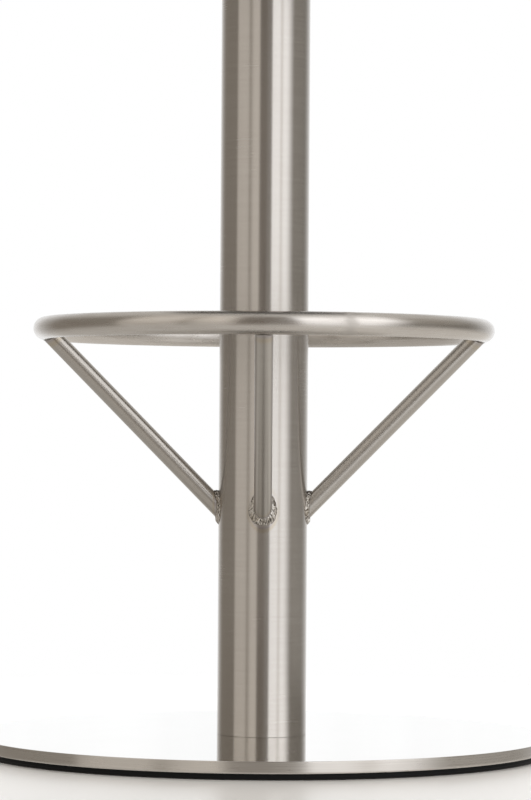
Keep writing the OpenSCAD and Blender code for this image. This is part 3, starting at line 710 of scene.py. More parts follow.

# %% [markdown]
# Moulded rubber. The floor ring is black nitrile rubber out of a steel mould. It is matt with a faint bluish
# reflection and slightly grained by the mould. Along its lowest edge it is painted paler and browner in patches, as a
# painted reflection of the floor. The grain is about 0.2 mm and is drawn at 0.5 mm.

# %% Rubber
rubber, tree, place = start_finish("moulded_nitrile_rubber")
grain = marks(tree, place, (0.5, 0.5, 0.5))
low_down = add_node(tree, "SeparateXYZ", {0: place}).outputs["Z"]
# Paler and browner along the lowest edge, in patches: a painted reflection of the floor.
painted_floor_reflection = add_node(tree, "Math", {0: band(tree, low_down, -1, MM * 0.7, MM * 0.6),
                               1: spread(tree, marks(tree, place, (9, 9, 3)), 0.35, 0.65, 0.1, 0.6)},
                operation="MULTIPLY")
colour = add_node(tree, "Mix", {"Factor": painted_floor_reflection, "A": paint("#0b0c0d"), "B": paint("#453f3a")}, data_type="RGBA")
relief = add_node(tree, "Bump", {"Height": grain, "Strength": 0.4, "Distance": MM * 0.08})
end_finish(tree, add_node(tree, "BsdfPrincipled", {
    "Base Color": colour, "Roughness": spread(tree, grain, 0.3, 0.7, 0.5, 0.66), "IOR": 1.52,
    "Specular IOR Level": 0.14, "Normal": relief}))

# %% [markdown]
# The base plate is a disc cut from 10 mm plate, bored for four countersunk bolts and turned on its edge, with both
# rims just broken so that they don't cut. It is turned from its outline here as well, and the holes are cut by a
# boolean, as a drill would. The faces that look sideways get the turned finish.

# %% Base plate
BREAK_LOW, BREAK_TOP, HOLE_R, SINK_R, BOLT_CIRCLE_R = 1.5, 0.7, 5.5, 10.2, 23.0
LOOKS_UP_FROM, EDGE_FROM = 0.9, 100

plate = loose(turned("base_disc", eased([
    (0, plate_low.z, 0), (base_r, plate_low.z, BREAK_LOW), (base_r, plate_z, BREAK_TOP), (0, plate_z, 0)]), 288))
drill_outline = [(0, plate_low.z - 1), (SINK_R + 1, plate_low.z - 1), (HOLE_R, plate_low.z + SINK_R - HOLE_R),
                 (HOLE_R, plate_z + 1), (0, plate_z + 1)]
drilled(plate, drill_outline, 48, [(BOLT_CIRCLE_R * cos(a), BOLT_CIRCLE_R * sin(a))
                                   for a in (pi / 4 + k * pi / 2 for k in range(4))])
tidy(plate.data)
for finish in (plate_polish, edge_steel):
    plate.data.materials.append(finish)
for face in plate.data.polygons:
    on_edge = abs(face.normal.z) < LOOKS_UP_FROM and hypot(*face.center[:2]) > MM * EDGE_FROM
    face.material_index = 1 if on_edge else 0
piece(plate, None, "pedestal", "base_steel", "base_plate")

# %% [markdown]
# The floor ring is a flat moulded band that keeps the steel off the floor. The mould leaves rounded edges and a
# fine flash line where its halves met, halfway up the outside, so the outline has a tiny ridge there.

# %% Floor ring
FLOOR_RING_W, FLASH, FLASH_HALF = 28.0, 0.18, 0.3
_, floor_ring_high = corners_of("floor_ring")
outer, floor_t = floor_ring_high.x, floor_ring_high.z
floor_ring = turned("rubber_floor_ring", eased([
    (outer - FLOOR_RING_W, 0, 0.8), (outer, 0, 0.9), (outer, floor_t / 2 - FLASH_HALF, 0),
    (outer + FLASH, floor_t / 2, 0), (outer, floor_t / 2 + FLASH_HALF, 0), (outer, floor_t, 0.6),
    (outer - FLOOR_RING_W, floor_t, 0.6)]), 288)
piece(floor_ring, rubber, "pedestal", "black_rubber", "floor_ring")

# %% [markdown]
# The column is welded stainless tube, 76.1 mm outside with a 2 mm wall, cut square at both ends and deburred. The
# photograph shows it as one plain length that meets the plate without a bead, with only a hairline at its foot. A
# turned tube with eased ends gives that line by itself.

# %% Column
COLUMN_WALL = 2.0
bore_r = column_r - COLUMN_WALL
column = turned("column", eased([
    (bore_r, column_low.z, 0.2), (column_r, column_low.z, 0.35), (column_r, column_top, 0.4),
    (bore_r, column_top, 0.3)]), 256)
piece(column, column_steel, "pedestal", "tube_steel", "column_tube")

# %% [markdown]
# The foot ring is a tube bent to a circle and closed by a butt weld, so nobody sees into it. A torus could be added
# with one call, but a real ring isn't that even: the ground weld stands out by a few hundredths of a millimetre. So
# it is skinned from its own circles, and the weld is a slight swelling.

# %% Foot ring
RING_STEPS, TUBE_STEPS, SWELL = 320, 48, 0.06


def ring_section(turn_i):
    """The tube's outer skin at one angle round the stool, as a closed circle of points."""
    off = (turn_i + pi / 2 - RING_WELD_TURN + pi) % (2 * pi) - pi
    swell = SWELL * max(0, 1 - abs(off) * ring_r / RING_WELD_HALF) ** 0.5
    way_out = Vector((cos(turn_i), sin(turn_i), 0))
    points = []
    for k in range(TUBE_STEPS):
        a = 2 * pi * k / TUBE_STEPS
        points.append(way_out * (ring_r + (RING_TUBE_R + swell) * cos(a))
                      + Vector((0, 0, ring_z + (RING_TUBE_R + swell) * sin(a))))
    return points


foot_ring = skin("foot_ring_tube", [ring_section(2 * pi * i / RING_STEPS) for i in range(RING_STEPS)], 60)
piece(foot_ring, ring_steel, "pedestal", "tube_steel", "foot_ring")

# %% [markdown]
# A strut is a short tube that is coped at both ends: cut to the curve of the column at its foot and to the curve
# of the ring at its head. Each straight line along the tube's wall simply ends where it meets those curves. At the
# foot that point has a formula. At the head it is found by halving the distance again and again.

# %% Where a strut ends
FIT, SHORT_OF_RING, HALVINGS = 0.15, 120.0, 30
along = Vector((cos(tilt), 0, sin(tilt)))
across = Vector((-sin(tilt), 0, cos(tilt)))
sideways = along.cross(across)
root = Vector((column_r, 0, foot_z))


def wall_line(r, t):
    """Where the line at angle t on a tube of radius r about the strut's axis starts, level with the root."""
    return root + across * (r * cos(t)) - sideways * (r * sin(t))


def meets_column(r, t, gap=FIT):
    """The point where that line leaves the column."""
    start = wall_line(r, t)
    reach = sqrt((column_r + gap) ** 2 - start.y ** 2)
    return start + along * ((reach - start.x) / along.x)


def meets_ring(r, t, gap=FIT):
    """The point where that line comes up to the ring's tube."""
    start, near, far = wall_line(r, t), SHORT_OF_RING, hypot(strut_run, STRUT_DROP)
    for _ in range(HALVINGS):
        middle = (near + far) / 2
        p = start + along * middle
        inside = hypot(hypot(p.x, p.y) - ring_r, p.z - ring_z) < RING_TUBE_R + gap
        near, far = (near, middle) if inside else (middle, far)
    return start + along * near


upper_side = meets_ring(STRUT_R, 0) - meets_column(STRUT_R, 0)
print("a strut is", round(upper_side.length, 1), "mm long on its upper side")

# %% [markdown]
# All four struts share one mesh, whose own Z runs along the tube, so that the brush marks run round it. Each
# object then stands at its place, a quarter turn from the next.

# %% Struts
STRUT_WALL, STRUT_STEPS, STRUT_CUTS = 1.5, 72, 12
strut_frame = Matrix((across, sideways, along)).transposed().to_4x4()
strut_frame.translation = root
to_strut = strut_frame.inverted()
sections = []
for i in range(STRUT_STEPS):
    t = 2 * pi * i / STRUT_STEPS
    foot, head = meets_column(STRUT_R, t), meets_ring(STRUT_R, t)
    bore_foot, bore_head = meets_column(STRUT_R - STRUT_WALL, t), meets_ring(STRUT_R - STRUT_WALL, t)
    wall = [foot.lerp(head, k / STRUT_CUTS) for k in range(STRUT_CUTS + 1)]
    sections.append([to_strut @ p for p in (*wall, bore_head, bore_foot)])
strut_mesh = skin("strut", sections)
strut_frame.translation = MM * root
for name, turn_k in (("right", 0), ("back", pi / 2), ("left", pi), ("front", -pi / 2)):
    made = bpy.data.objects.new(f"strut_tube_{name}", strut_mesh)
    piece(made, strut_steel, "pedestal", "tube_steel", f"strut_{name}",
          at=Matrix.Rotation(turn_k, 4, "Z") @ strut_frame)

# %% [markdown]
# The foot beads are what a buyer looks at closely. A TIG bead is laid drop by drop, and each drop freezes as a
# crescent that lies on the one before, so the bead looks like a row of fallen coins. Its section is a fillet with
# one toe on the column and one on the strut. The ripple is a cusped wave that runs round the joint, and its phase
# bends back towards the toes, which gives the crescents. Slow noise makes legs and drops uneven, as a hand does.

# %% A rippled bead
BULGE, PARTS_ACROSS, STEPS_A_RIPPLE = 0.24, 14, 12
# How uneven a hand is: the legs' slow swing and quick tremble, the ripples' drift and the drops' heights.
SWING, TREMBLE, DRIFT, UNEVEN = 0.12, 0.10, 0.6, 0.9
CUSP, MEAN_WAVE, WRINKLE, CORNER_FILL = 0.6, 0.45, 1.1, 1.2
# Painted shade lies where the section has risen less than this from a toe, and oxide with painted shade lies below
# this height of a ripple.
TOE_RISE, HOLLOW_BELOW = 0.3, 0.3


def bead(corner_at, toe_at, strut_toe_at, ripples, lift, seed, corner=lambda t: 0):
    """Sections of a rippled bead round a joint, and how much oxide and painted shade each point has.

    The functions take an angle round the joint. They give the bead's inner corner, its two toes, and how much of
    a sharp corner there is. lift is the height of the ripples."""
    steps, rows, hollow = ripples * STEPS_A_RIPPLE, [], []
    for i in range(steps):
        t = 2 * pi * i / steps
        # The hand that holds the torch swings slowly and trembles quickly, and no two drops are the same.
        hand = 1 + SWING * wander(t, 2.2, seed) + TREMBLE * wander(t, 7, seed)
        phase = ripples * i / steps + DRIFT * wander(t, 5, seed + 9)
        drop = 1 + UNEVEN * wander(t, 6, seed + 4)
        inner, toe_a, toe_b = corner_at(t), toe_at(t, hand), strut_toe_at(t, hand)
        outward = (toe_a + toe_b) / 2 - inner
        row, dark = [inner], [1.0]
        for k in range(PARTS_ACROSS + 1):
            v = k / PARTS_ACROSS
            belly = 4 * v * (1 - v)
            wave = abs(sin(pi * (phase + 0.5 * belly))) ** CUSP
            ripple = 0.7 * drop * (wave - MEAN_WAVE) + WRINKLE * wander(t, 10, seed + 3 * v)
            stand = belly ** 0.7 * (BULGE * (1 - CORNER_FILL * corner(t)) * outward.length + lift * ripple)
            row.append(toe_a.lerp(toe_b, v) + outward.normalized() * stand)
            # Oxide and painted shade darken the hollows between ripples, and painted shade darkens both toes and a
            # sharp corner.
            toe = max(0, 1 - belly / TOE_RISE)
            dark.append(min(1, max(0, HOLLOW_BELOW - ripple) * 0.9 + 0.7 * toe + corner(t) ** 2))
        rows.append(row)
        hollow += dark
    return rows, hollow


print("a bead's section has", PARTS_ACROSS + 2, "points")

# %% [markdown]
# A foot bead runs round a strut on the column. Its outer toe stands a leg's length off the strut, found by asking
# where a thicker strut would meet the column. The bead is fuller in the sharp corner above the strut,
# where metal runs together, and painted shade darkens it there. All beads sink a little into what they join.

# %% Bead at a strut's foot
RIPPLE, SUNK = 3.0, -0.1


def foot_corner(t):
    """The inner corner, where the strut's skin meets the column's."""
    return meets_column(STRUT_R + SUNK, t, SUNK)


def crotch(t):
    """One in the sharp corner above a strut, where more metal runs in, and nothing from its sides down."""
    return max(0, cos(t)) ** 2


def foot_toe(t, hand):
    """The toe on the column. It stands out more above the strut and at its sides."""
    leg = FOOT_LEG * hand * (1 + 0.2 * crotch(t) + 0.25 * sin(t) ** 2)
    return meets_column(STRUT_R + leg * sqrt((cos(tilt) * cos(t)) ** 2 + sin(t) ** 2), t, SUNK)


def foot_strut_toe(t, hand):
    """The toe on the strut."""
    return foot_corner(t) + along * FOOT_LEG * hand * (1 + 0.65 * crotch(t))


middle_r = STRUT_R + 2
foot_round = 2 * pi * sqrt((middle_r ** 2 + (middle_r / cos(tilt)) ** 2) / 2)
foot_ripples = round(foot_round / RIPPLE)
print("a foot bead is", round(foot_round), "mm round and has", foot_ripples, "ripples")

# %% [markdown]
# A head bead joins a strut to the ring and was ground nearly flush, so its legs are short and its ripples low. Its
# outer toe has to lie on the ring's tube, so a point beside the strut is moved to the nearest point there.

# %% Bead at a strut's head
# HEAD_DARK gives a head bead a sharp corner all round. This flattens the bead and darkens it with painted shade along
# the ring.
HEAD_RIPPLES, HEAD_DARK = 34, 0.8


def onto_ring(p):
    """The nearest point to p on the ring's tube."""
    far = hypot(p.x, p.y)
    off = Vector((far - ring_r, p.z - ring_z)).normalized() * (RING_TUBE_R + SUNK)
    return Vector((p.x * (ring_r + off.x) / far, p.y * (ring_r + off.x) / far, ring_z + off.y))


def head_corner(t):
    """The inner corner, where the strut's skin meets the ring's."""
    return meets_ring(STRUT_R + SUNK, t, SUNK)


def head_toe(t, hand):
    """The toe on the ring."""
    out = across * cos(t) - sideways * sin(t)
    return onto_ring(head_corner(t) + out * HEAD_LEG * hand)


def head_strut_toe(t, hand):
    """The toe on the strut."""
    return head_corner(t) - along * HEAD_LEG * hand


print("a head bead's upper toe lies", round(head_toe(0, 1).z - ring_z, 1), "mm from the ring's middle height")

# %% [markdown]
# Each bead is made once, at the right strut, and repeated at the other three.

# %% Foot and head beads
QUARTERS = [Matrix.Rotation(radians(turn_k), 4, "Z") for turn_k in (0, 90, 180, 270)]

foot_bead = bead(foot_corner, foot_toe, foot_strut_toe, foot_ripples, 0.95, 1.3, crotch)
head_bead = bead(head_corner, head_toe, head_strut_toe, HEAD_RIPPLES, 0.2, 7.9, lambda t: HEAD_DARK)
for name, (rows, hollow), node in (("foot_bead", foot_bead, "strut_foot_welds"),
                                   ("head_bead", head_bead, "strut_head_welds")):
    beads = repeated(skin(name, rows, 50, hollow), name + "s", QUARTERS, 50)
    piece(beads, weld_steel, "pedestal", "weld_steel", node)

# %% [markdown]
# Moulded plastic. The cap that closes the column's head is black nylon with a fine spark-eroded grain, which
# makes it satin. The grain is 0.1 mm and is drawn at 0.4 mm.

# %% Black nylon
black_nylon, tree, place = start_finish("moulded_black_nylon")
grain = marks(tree, place, (0.4, 0.4, 0.4))
patches = marks(tree, place, (12, 12, 12), detail=2.0)
colour = add_node(tree, "Mix", {"Factor": patches, "A": paint("#161617"), "B": paint("#1d1d1f")}, data_type="RGBA")
relief = add_node(tree, "Bump", {"Height": grain, "Strength": 0.35, "Distance": MM * 0.05})
end_finish(tree, add_node(tree, "BsdfPrincipled", {
    "Base Color": colour, "Roughness": spread(tree, grain, 0.3, 0.7, 0.38, 0.5), "IOR": 1.53, "Normal": relief}))

# %% [markdown]
# Powder coat. The collar and the seat plate are plain steel under black powder coat, which is sprayed on dry
# and melted in an oven. It flows out to a semi-gloss skin with a fine orange peel. The peel is about 1.5 mm across
# and is drawn at 2.2 mm.

# %% Black powder coat
black_coat, tree, place = start_finish("black_powder_coat")
peel = marks(tree, place, (2.2, 2.2, 2.2), detail=1.0)
fine = marks(tree, place, (0.5, 0.5, 0.5))
relief = add_node(tree, "Bump", {"Height": peel, "Strength": 0.5, "Distance": MM * 0.12})
relief = add_node(tree, "Bump", {"Height": fine, "Strength": 0.25, "Distance": MM * 0.03, "Normal": relief})
colour = add_node(tree, "Mix", {"Factor": peel, "A": paint("#141415"), "B": paint("#1b1b1c")}, data_type="RGBA")
end_finish(tree, add_node(tree, "BsdfPrincipled", {
    "Base Color": colour, "Roughness": spread(tree, fine, 0.3, 0.7, 0.34, 0.44), "IOR": 1.5, "Normal": relief}))

# %% [markdown]
# Zinc plate. Bolts, washers, tee nuts and staples are steel with bright zinc and a clear passivation, which gives
# a cool grey with the faintest blue and yellow clouds and a soft shine.

# %% Zinc plate
zinc, tree, place = start_finish("bright_zinc_plate")
clouds = marks(tree, place, (5, 5, 5), detail=3.0)
fine = marks(tree, place, (0.4, 0.4, 0.4))
colour = add_node(tree, "Mix", {"Factor": spread(tree, clouds, 0.35, 0.65, 0, 1), "A": paint("#b9c0c8"),
                                "B": paint("#cfcbbd")}, data_type="RGBA")
relief = add_node(tree, "Bump", {"Height": fine, "Strength": 0.3, "Distance": MM * 0.02})
end_finish(tree, add_node(tree, "BsdfPrincipled", {
    "Base Color": colour, "Metallic": 1.0, "Roughness": spread(tree, clouds, 0.3, 0.7, 0.24, 0.36),
    "Normal": relief}))

# %% [markdown]
# The cap sits on the column's head and hides the bearing. Its skirt plugs into the tube, its rim is as wide as the
# tube, and the collar turns in its hole with a thin gap. It is one turned outline.

# %% Column cap
CAP_RUNNING_GAP, CAP_PLUG_GAP, CAP_WALL = 0.6, 0.1, 2.5
cap_low, cap_high = corners_of("column_cap")
hub_low, hub_high = corners_of("swivel_hub")
cap_hole, skirt_r = hub_high.x + CAP_RUNNING_GAP, bore_r - CAP_PLUG_GAP
cap = turned("column_head_cap", eased([
    (skirt_r - CAP_WALL, cap_low.z, 0.4), (skirt_r, cap_low.z, 0.5), (skirt_r, column_top, 0),
    (cap_high.x, column_top, 0.3), (cap_high.x, cap_high.z, 1.2), (cap_hole, cap_high.z, 0.6),
    (cap_hole, column_top, 0.3), (skirt_r - CAP_WALL, column_top, 0)]), 160)
piece(cap, black_nylon, "pedestal", "black_plastic", "column_cap")

# %% [markdown]
# The collar is a turned steel ring that stands on the bearing and is welded under the seat plate. Its bead is a
# circle, so it is swept from one fillet section that ripples as it goes, and it is powder coated with the rest.

# %% Collar and its bead
STEM_HOLE_R, HUB_LEG, HUB_RIPPLES = 12.6, 4.0, 70
plate_seat_low, plate_seat_high = corners_of("seat_plate")
collar = turned("swivel_collar", eased([
    (STEM_HOLE_R, hub_low.z, 0.5), (hub_high.x, hub_low.z, 0.8), (hub_high.x, hub_high.z, 0),
    (STEM_HOLE_R, hub_high.z, 0)]), 128)
piece(collar, black_coat, "seat", "black_painted_steel", "swivel_hub")


def hub_points(t, hand):
    """The corner and the two toes of the collar's bead at an angle round the stool."""
    way_out, r, z = Vector((cos(t), sin(t), 0)), hub_high.x + SUNK, plate_seat_low.z - SUNK
    corner = way_out * r + Vector((0, 0, z))
    return corner, corner + way_out * HUB_LEG * hand, corner - Vector((0, 0, HUB_LEG * hand))


hub_rows, _ = bead(lambda t: hub_points(t, 1)[0], lambda t, hand: hub_points(t, hand)[1],
                   lambda t, hand: hub_points(t, hand)[2], HUB_RIPPLES, 0.5, 4.4)
hub_bead = skin("collar_bead", hub_rows, 50)
piece(hub_bead, black_coat, "seat", "black_painted_steel", "hub_weld")

# %% [markdown]
# The seat plate is laser-cut from 4 mm sheet: a square with round corners, a hole for the stem and four for
# the bolts. A flat curve with holes in it is Blender's own way to make such a blank. First come its closed lines,
# in millimetres.

# %% Lines of the seat plate
CORNER_R, CORNER_STEPS, HOLE_STEPS, BOLT_HOLE_R, WASHER_R = 18.0, 16, 48, 4.5, 8.5
half = plate_seat_high.x
bolt_at = corners_of("seat_washers")[1].x - WASHER_R
bolt_spots = [(x * bolt_at, y * bolt_at) for x in (-1, 1) for y in (-1, 1)]


def rounded_square():
    """The plate's outline, corner by corner."""
    outline = []
    for k, (x, y) in enumerate(((1, 1), (-1, 1), (-1, -1), (1, -1))):
        mid = Vector((x, y)) * (half - CORNER_R)
        outline += [tuple(mid + CORNER_R * Vector((cos(a), sin(a))))
                    for a in (pi / 2 * (k + j / CORNER_STEPS) for j in range(CORNER_STEPS + 1))]
    return outline


def hole(x, y, r):
    """A round hole at a spot."""
    rounds = [2 * pi * i / HOLE_STEPS for i in range(HOLE_STEPS)]
    return [(x + r * cos(a), y + r * sin(a)) for a in rounds]


plate_lines = [rounded_square(), hole(0, 0, STEM_HOLE_R)] + [hole(x, y, BOLT_HOLE_R) for x, y in bolt_spots]
print("the seat plate's bolts stand at", round(bolt_at, 1), "mm")

# %% [markdown]
# The curve fills its outline, leaves the holes open, gives the blank its thickness and rolls every edge, and then
# becomes a mesh.

# %% Seat plate
PLATE_EASE = 0.5
blank = bpy.data.curves.new("seat_plate_blank", "CURVE")
blank.dimensions, blank.fill_mode = "2D", "BOTH"
blank.extrude = MM * ((plate_seat_high.z - plate_seat_low.z) / 2 - PLATE_EASE)
blank.bevel_depth, blank.bevel_resolution, blank.offset = MM * PLATE_EASE, 3, -MM * PLATE_EASE
for points in plate_lines:
    line = blank.splines.new("POLY")
    line.points.add(len(points) - 1)
    for point, (x, y) in zip(line.points, points):
        point.co = (MM * x, MM * y, 0, 1)
    line.use_cyclic_u = True
blank_object = loose(blank)
seat_plate = bpy.data.meshes.new_from_object(blank_object.evaluated_get(bpy.context.evaluated_depsgraph_get()))
bpy.data.objects.remove(blank_object)
seat_plate.name = "steel_seat_plate"
seat_plate.transform(Matrix.Translation((0, 0, MM * (plate_seat_low.z + plate_seat_high.z) / 2)))
seat_plate.materials.clear()
piece(tidy(seat_plate, 40), black_coat, "seat", "black_painted_steel", "seat_plate")

# %% [markdown]
# The seat bolts are M8 hexagon bolts. What makes a hexagon head look right is its chamfer: a cone cuts the six
# corners, which leaves an arc on each flat. Here each point of the head stands on the hexagon or on the cone,
# whichever is nearer to the bolt's axis.

# %% Shape of a bolt
BOLT_R, BOLT_TIP, HEAD_FLATS, HEAD_H, BOLT_STEPS = 4.0, 0.8, 13.0, 5.3, 96
HEAD_CONE, CONE_RISE, HEAD_EASE = 0.2, 0.55, 0.3
bolt_low, bolt_high = corners_of("seat_bolts")
head_top = bolt_low.z + HEAD_H


def hexagon(t, size):
    """How far a hexagon of that size over flats reaches at angle t."""
    return size / 2 / cos((t + pi / 6) % (pi / 3) - pi / 6)


def bolt_sections():
    """The bolt's outline at each angle: the crown of its head below, its flats, and its shank above."""
    sections = []
    for i in range(BOLT_STEPS):
        t = 2 * pi * i / BOLT_STEPS
        flat = hexagon(t, HEAD_FLATS)
        cone = HEAD_FLATS / 2 - HEAD_CONE
        outline = [(0, bolt_low.z), (cone, bolt_low.z), (flat, bolt_low.z + max(0, flat - cone) * CONE_RISE),
                   (flat, head_top - HEAD_EASE), (flat - HEAD_EASE / 2, head_top), (BOLT_R, head_top),
                   (BOLT_R, bolt_high.z - BOLT_TIP), (BOLT_R - BOLT_TIP, bolt_high.z), (0, bolt_high.z)]
        sections.append([(r * cos(t), r * sin(t), z) for r, z in outline])
    return sections


print("a bolt's head is", round(2 * hexagon(pi / 6, HEAD_FLATS), 1), "mm over its corners")

# %% [markdown]
# Four bolts go through the plate's corners, each over a washer. Every head is turned as the spanner left it, because
# four heads in line look drawn and not bolted.

# %% Seat bolts and washers
WASHER_T, WASHER_PLAY = 1.6, 0.2
BOLT_TURNS = (7, 31, 18, 49)


def at_bolts(turns):
    """Where the four bolts stand, each turned by so many degrees."""
    return [Matrix.Translation(MM * Vector((x, y, 0))) @ Matrix.Rotation(radians(turn_k), 4, "Z")
            for (x, y), turn_k in zip(bolt_spots, turns)]


bolts = repeated(skin("bolt", bolt_sections()), "seat_fixing_bolts", at_bolts(BOLT_TURNS), 32)
washer_hole, washer_top = BOLT_R + WASHER_PLAY, head_top + WASHER_T
washer = turned("washer", eased([
    (washer_hole, head_top, 0), (WASHER_R, head_top, 0.25), (WASHER_R, washer_top, 0.2),
    (washer_hole, washer_top, 0)]), 64)
washers = repeated(washer, "seat_fixing_washers", at_bolts((0, 0, 0, 0)), 32)
piece(bolts, zinc, "seat", "zinc_steel", "seat_bolts")
piece(washers, zinc, "seat", "zinc_steel", "seat_washers")

# %% [markdown]
# Faux leather: a knitted cloth with a skin of polyurethane that was embossed with a leather grain. The grain is a net
# of fine creases round little pebbles, each 1 to 2 mm across, and it is drawn at 2.6 mm so that it shows from where
# a person stands. Longer, softer creases run across it where the cover is under tension. The skin is
# satin, and it reflects more in the creases' edges than on the pebbles.

# %% Faux leather
PEBBLE, CREASE, PORE = 2.6, 14.0, 0.6

leather, tree, place = start_finish("black_faux_leather")
bent = add_node(tree, "Mix", {"Factor": 0.003, "A": place, "B": marks(tree, place, (9, 9, 9)).outputs["Color"]},
                data_type="VECTOR")
cells = add_node(tree, "TexVoronoi", {"Vector": bent, "Scale": 1 / (MM * PEBBLE), "Randomness": 0.95},
                 feature="DISTANCE_TO_EDGE")
pebbles = add_node(tree, "MapRange", {0: cells, 1: 0.02, 2: 0.32, 3: 0.0, 4: 1.0}, interpolation_type="SMOOTHSTEP")
creases = marks(tree, place, (CREASE, CREASE, CREASE), detail=3.0, rough=0.5)
pores = marks(tree, place, (PORE, PORE, PORE))
relief = add_node(tree, "Bump", {"Height": creases, "Strength": 0.3, "Distance": MM * 0.5})
relief = add_node(tree, "Bump", {"Height": pebbles, "Strength": 0.6, "Distance": MM * 0.14, "Normal": relief})
relief = add_node(tree, "Bump", {"Height": pores, "Strength": 0.2, "Distance": MM * 0.05, "Normal": relief})
colour = add_node(tree, "Mix", {"Factor": pebbles, "A": paint("#0e0e0f"), "B": paint("#1b1b1d")}, data_type="RGBA")
colour = add_node(tree, "Mix", {"Factor": spread(tree, creases, 0.35, 0.7, 0, 0.5), "A": colour,
                                "B": paint("#232326")}, data_type="RGBA")
end_finish(tree, add_node(tree, "BsdfPrincipled", {
    "Base Color": colour, "Roughness": spread(tree, pebbles, 0, 1, 0.36, 0.47), "IOR": 1.5, "Normal": relief}))

# %% [markdown]
# Upholstery foam is polyurethane with open cells of about 0.5 mm. It is cream coloured and quite matt. The cells
# are drawn 1 mm wide.

# %% Foam
foam_paint, tree, place = start_finish("open_cell_foam")
cells = add_node(tree, "TexVoronoi", {"Vector": place, "Scale": 1 / (MM * 1.0)})
clouds = marks(tree, place, (40, 40, 40))
colour = add_node(tree, "Mix", {"Factor": clouds, "A": paint("#e6dcb8"), "B": paint("#efe8cf")}, data_type="RGBA")
relief = add_node(tree, "Bump", {"Height": cells.outputs["Distance"], "Strength": 0.8, "Distance": MM * 0.4})
end_finish(tree, add_node(tree, "BsdfPrincipled", {
    "Base Color": colour, "Roughness": spread(tree, clouds, 0.3, 0.7, 0.88, 0.96), "Normal": relief}))

# %% [markdown]
# The cushion is a round pad with a crowned top, a straight band round its side and a line of piping along both
# seams. Its outline comes from the same curves that the solid has, drawn in by a little, because the simulation
# that follows blows it up again. The underside is flat, where the cover lies on the board.

# %% Outline of the cushion
SIDE_H, LOW_PIPING_H, SIDE_DRAW, FOLD_ROLL = 62.0, 9.0, 3.0, 6.0
ROLL_STEPS, SIDE_STEPS, TOP_STEPS = 6, 14, 20
cover_low, cover_high = corners_of("seat_cover")
board_low, board_high = corners_of("seat_board")
seat_r, fold_z = cover_high.x, cover_low.z
seam_z, low_piping_z = board_low.z + SIDE_H, board_low.z + LOW_PIPING_H
crown = cover_high.z - seam_z
roll_z = fold_z + FOLD_ROLL


def side_r(z):
    """Radius of the cushion's side at a height: it is drawn in between its seams."""
    return seat_r - SIDE_DRAW * sin(pi * (z - roll_z) / (seam_z - roll_z))


def top_z(r, rise):
    """Height of the cushion's top at a radius, crowned by rise."""
    return seam_z + rise * max(0, 1 - (r / seat_r) ** 3) ** 0.7


def cushion_outline(inset, rise, low_z):
    """The closed outline of the cushion, in by inset at its side, crowned by rise and flat at low_z."""
    roll = [(seat_r - inset - FOLD_ROLL * (1 - sin(a)), low_z + FOLD_ROLL * (1 - cos(a)))
            for a in (pi / 2 * k / ROLL_STEPS for k in range(ROLL_STEPS))]
    side = [(side_r(z) - inset, z)
            for z in (roll_z + (seam_z - roll_z) * k / SIDE_STEPS for k in range(SIDE_STEPS + 1))]
    top = [(r, top_z(r, rise))
           for r in ((seat_r - inset) * sqrt(1 - k / TOP_STEPS) for k in range(1, TOP_STEPS))]
    return [(0, low_z), *roll, *side, *top, (0, top_z(0, rise))]


print(f"the seat is {2 * seat_r:.0f} across, its top seam at {seam_z:.1f} and its crown {crown:.1f} higher")

# %% [markdown]
# A cover is cut a little larger than the foam feels, and the foam pushes it out. Blender's cloth does the same. It
# is held where a real cover is: along both seams, which are sewn, and on the underside, which lies on the
# board. A vertex group names those points.

# %% Points that hold the cloth
PIN_IN, PIN_HALF = 9, 2.5


def pinned(made):
    """Names the points of the cushion that are held, and gives the name."""
    held = made.vertex_groups.new(name="held")
    for v in made.data.vertices:
        r, z = hypot(v.co.x, v.co.y) / MM, v.co.z / MM
        on_seam = r > seat_r - PIN_IN and min(abs(z - seam_z), abs(z - low_piping_z)) < PIN_HALF
        if z < roll_z or on_seam:
            held.add([v.index], 1.0, "REPLACE")
    return held.name


print("the cloth is held over", 2 * PIN_HALF, "mm at each seam and below", round(roll_z, 1))

# %% [markdown]
# A gentle pressure swells the panels between the points that are held. The cloth is three hundredths longer than
# the form, so it gathers into small puckers where the seams hold it. The step is capped at a few millimetres,
# so that foam and not a balloon shapes it.

# %% Cloth that swells
SWELL_CAP, PRESSURE, SLACK, LAST_FRAME = 6.0, 4.0, 0.03, 20


def swollen(made):
    """Swells a closed cushion with Blender's cloth and bakes the result."""
    before = [v.co.copy() for v in made.data.vertices]
    held = pinned(made)
    cloth = made.modifiers.new("cloth", "CLOTH")
    cloth.settings.quality = 6
    cloth.settings.mass = 0.3
    cloth.settings.tension_stiffness = cloth.settings.compression_stiffness = 20
    cloth.settings.shear_stiffness = 8
    cloth.settings.bending_stiffness = 1.5
    cloth.settings.vertex_group_mass = held
    cloth.settings.use_pressure = True
    cloth.settings.uniform_pressure_force = PRESSURE
    cloth.settings.shrink_min = -SLACK
    cloth.settings.effector_weights.gravity = 0
    scene = bpy.context.scene
    cloth.point_cache.frame_start, cloth.point_cache.frame_end = 1, LAST_FRAME
    scene.frame_start, scene.frame_end = 1, LAST_FRAME
    for number in range(1, LAST_FRAME + 1):
        scene.frame_set(number)
    baked(made)
    scene.frame_set(1)
    for v, old in zip(made.data.vertices, before):
        step = v.co - old
        v.co = old + step.normalized() * min(step.length, MM * SWELL_CAP)
    moved = max((v.co - old).length for v, old in zip(made.data.vertices, before))
    print(f"the cloth moved the cover by up to {moved / MM:.1f} mm over {len(before)} points")


print("no point of the cloth may move further than", SWELL_CAP, "mm")

# %% [markdown]
# The simulation needs even cells, so the outline is turned and remeshed into 4 mm ones. It starts a little
# smaller than the cover and is smoothed and made finer afterwards.

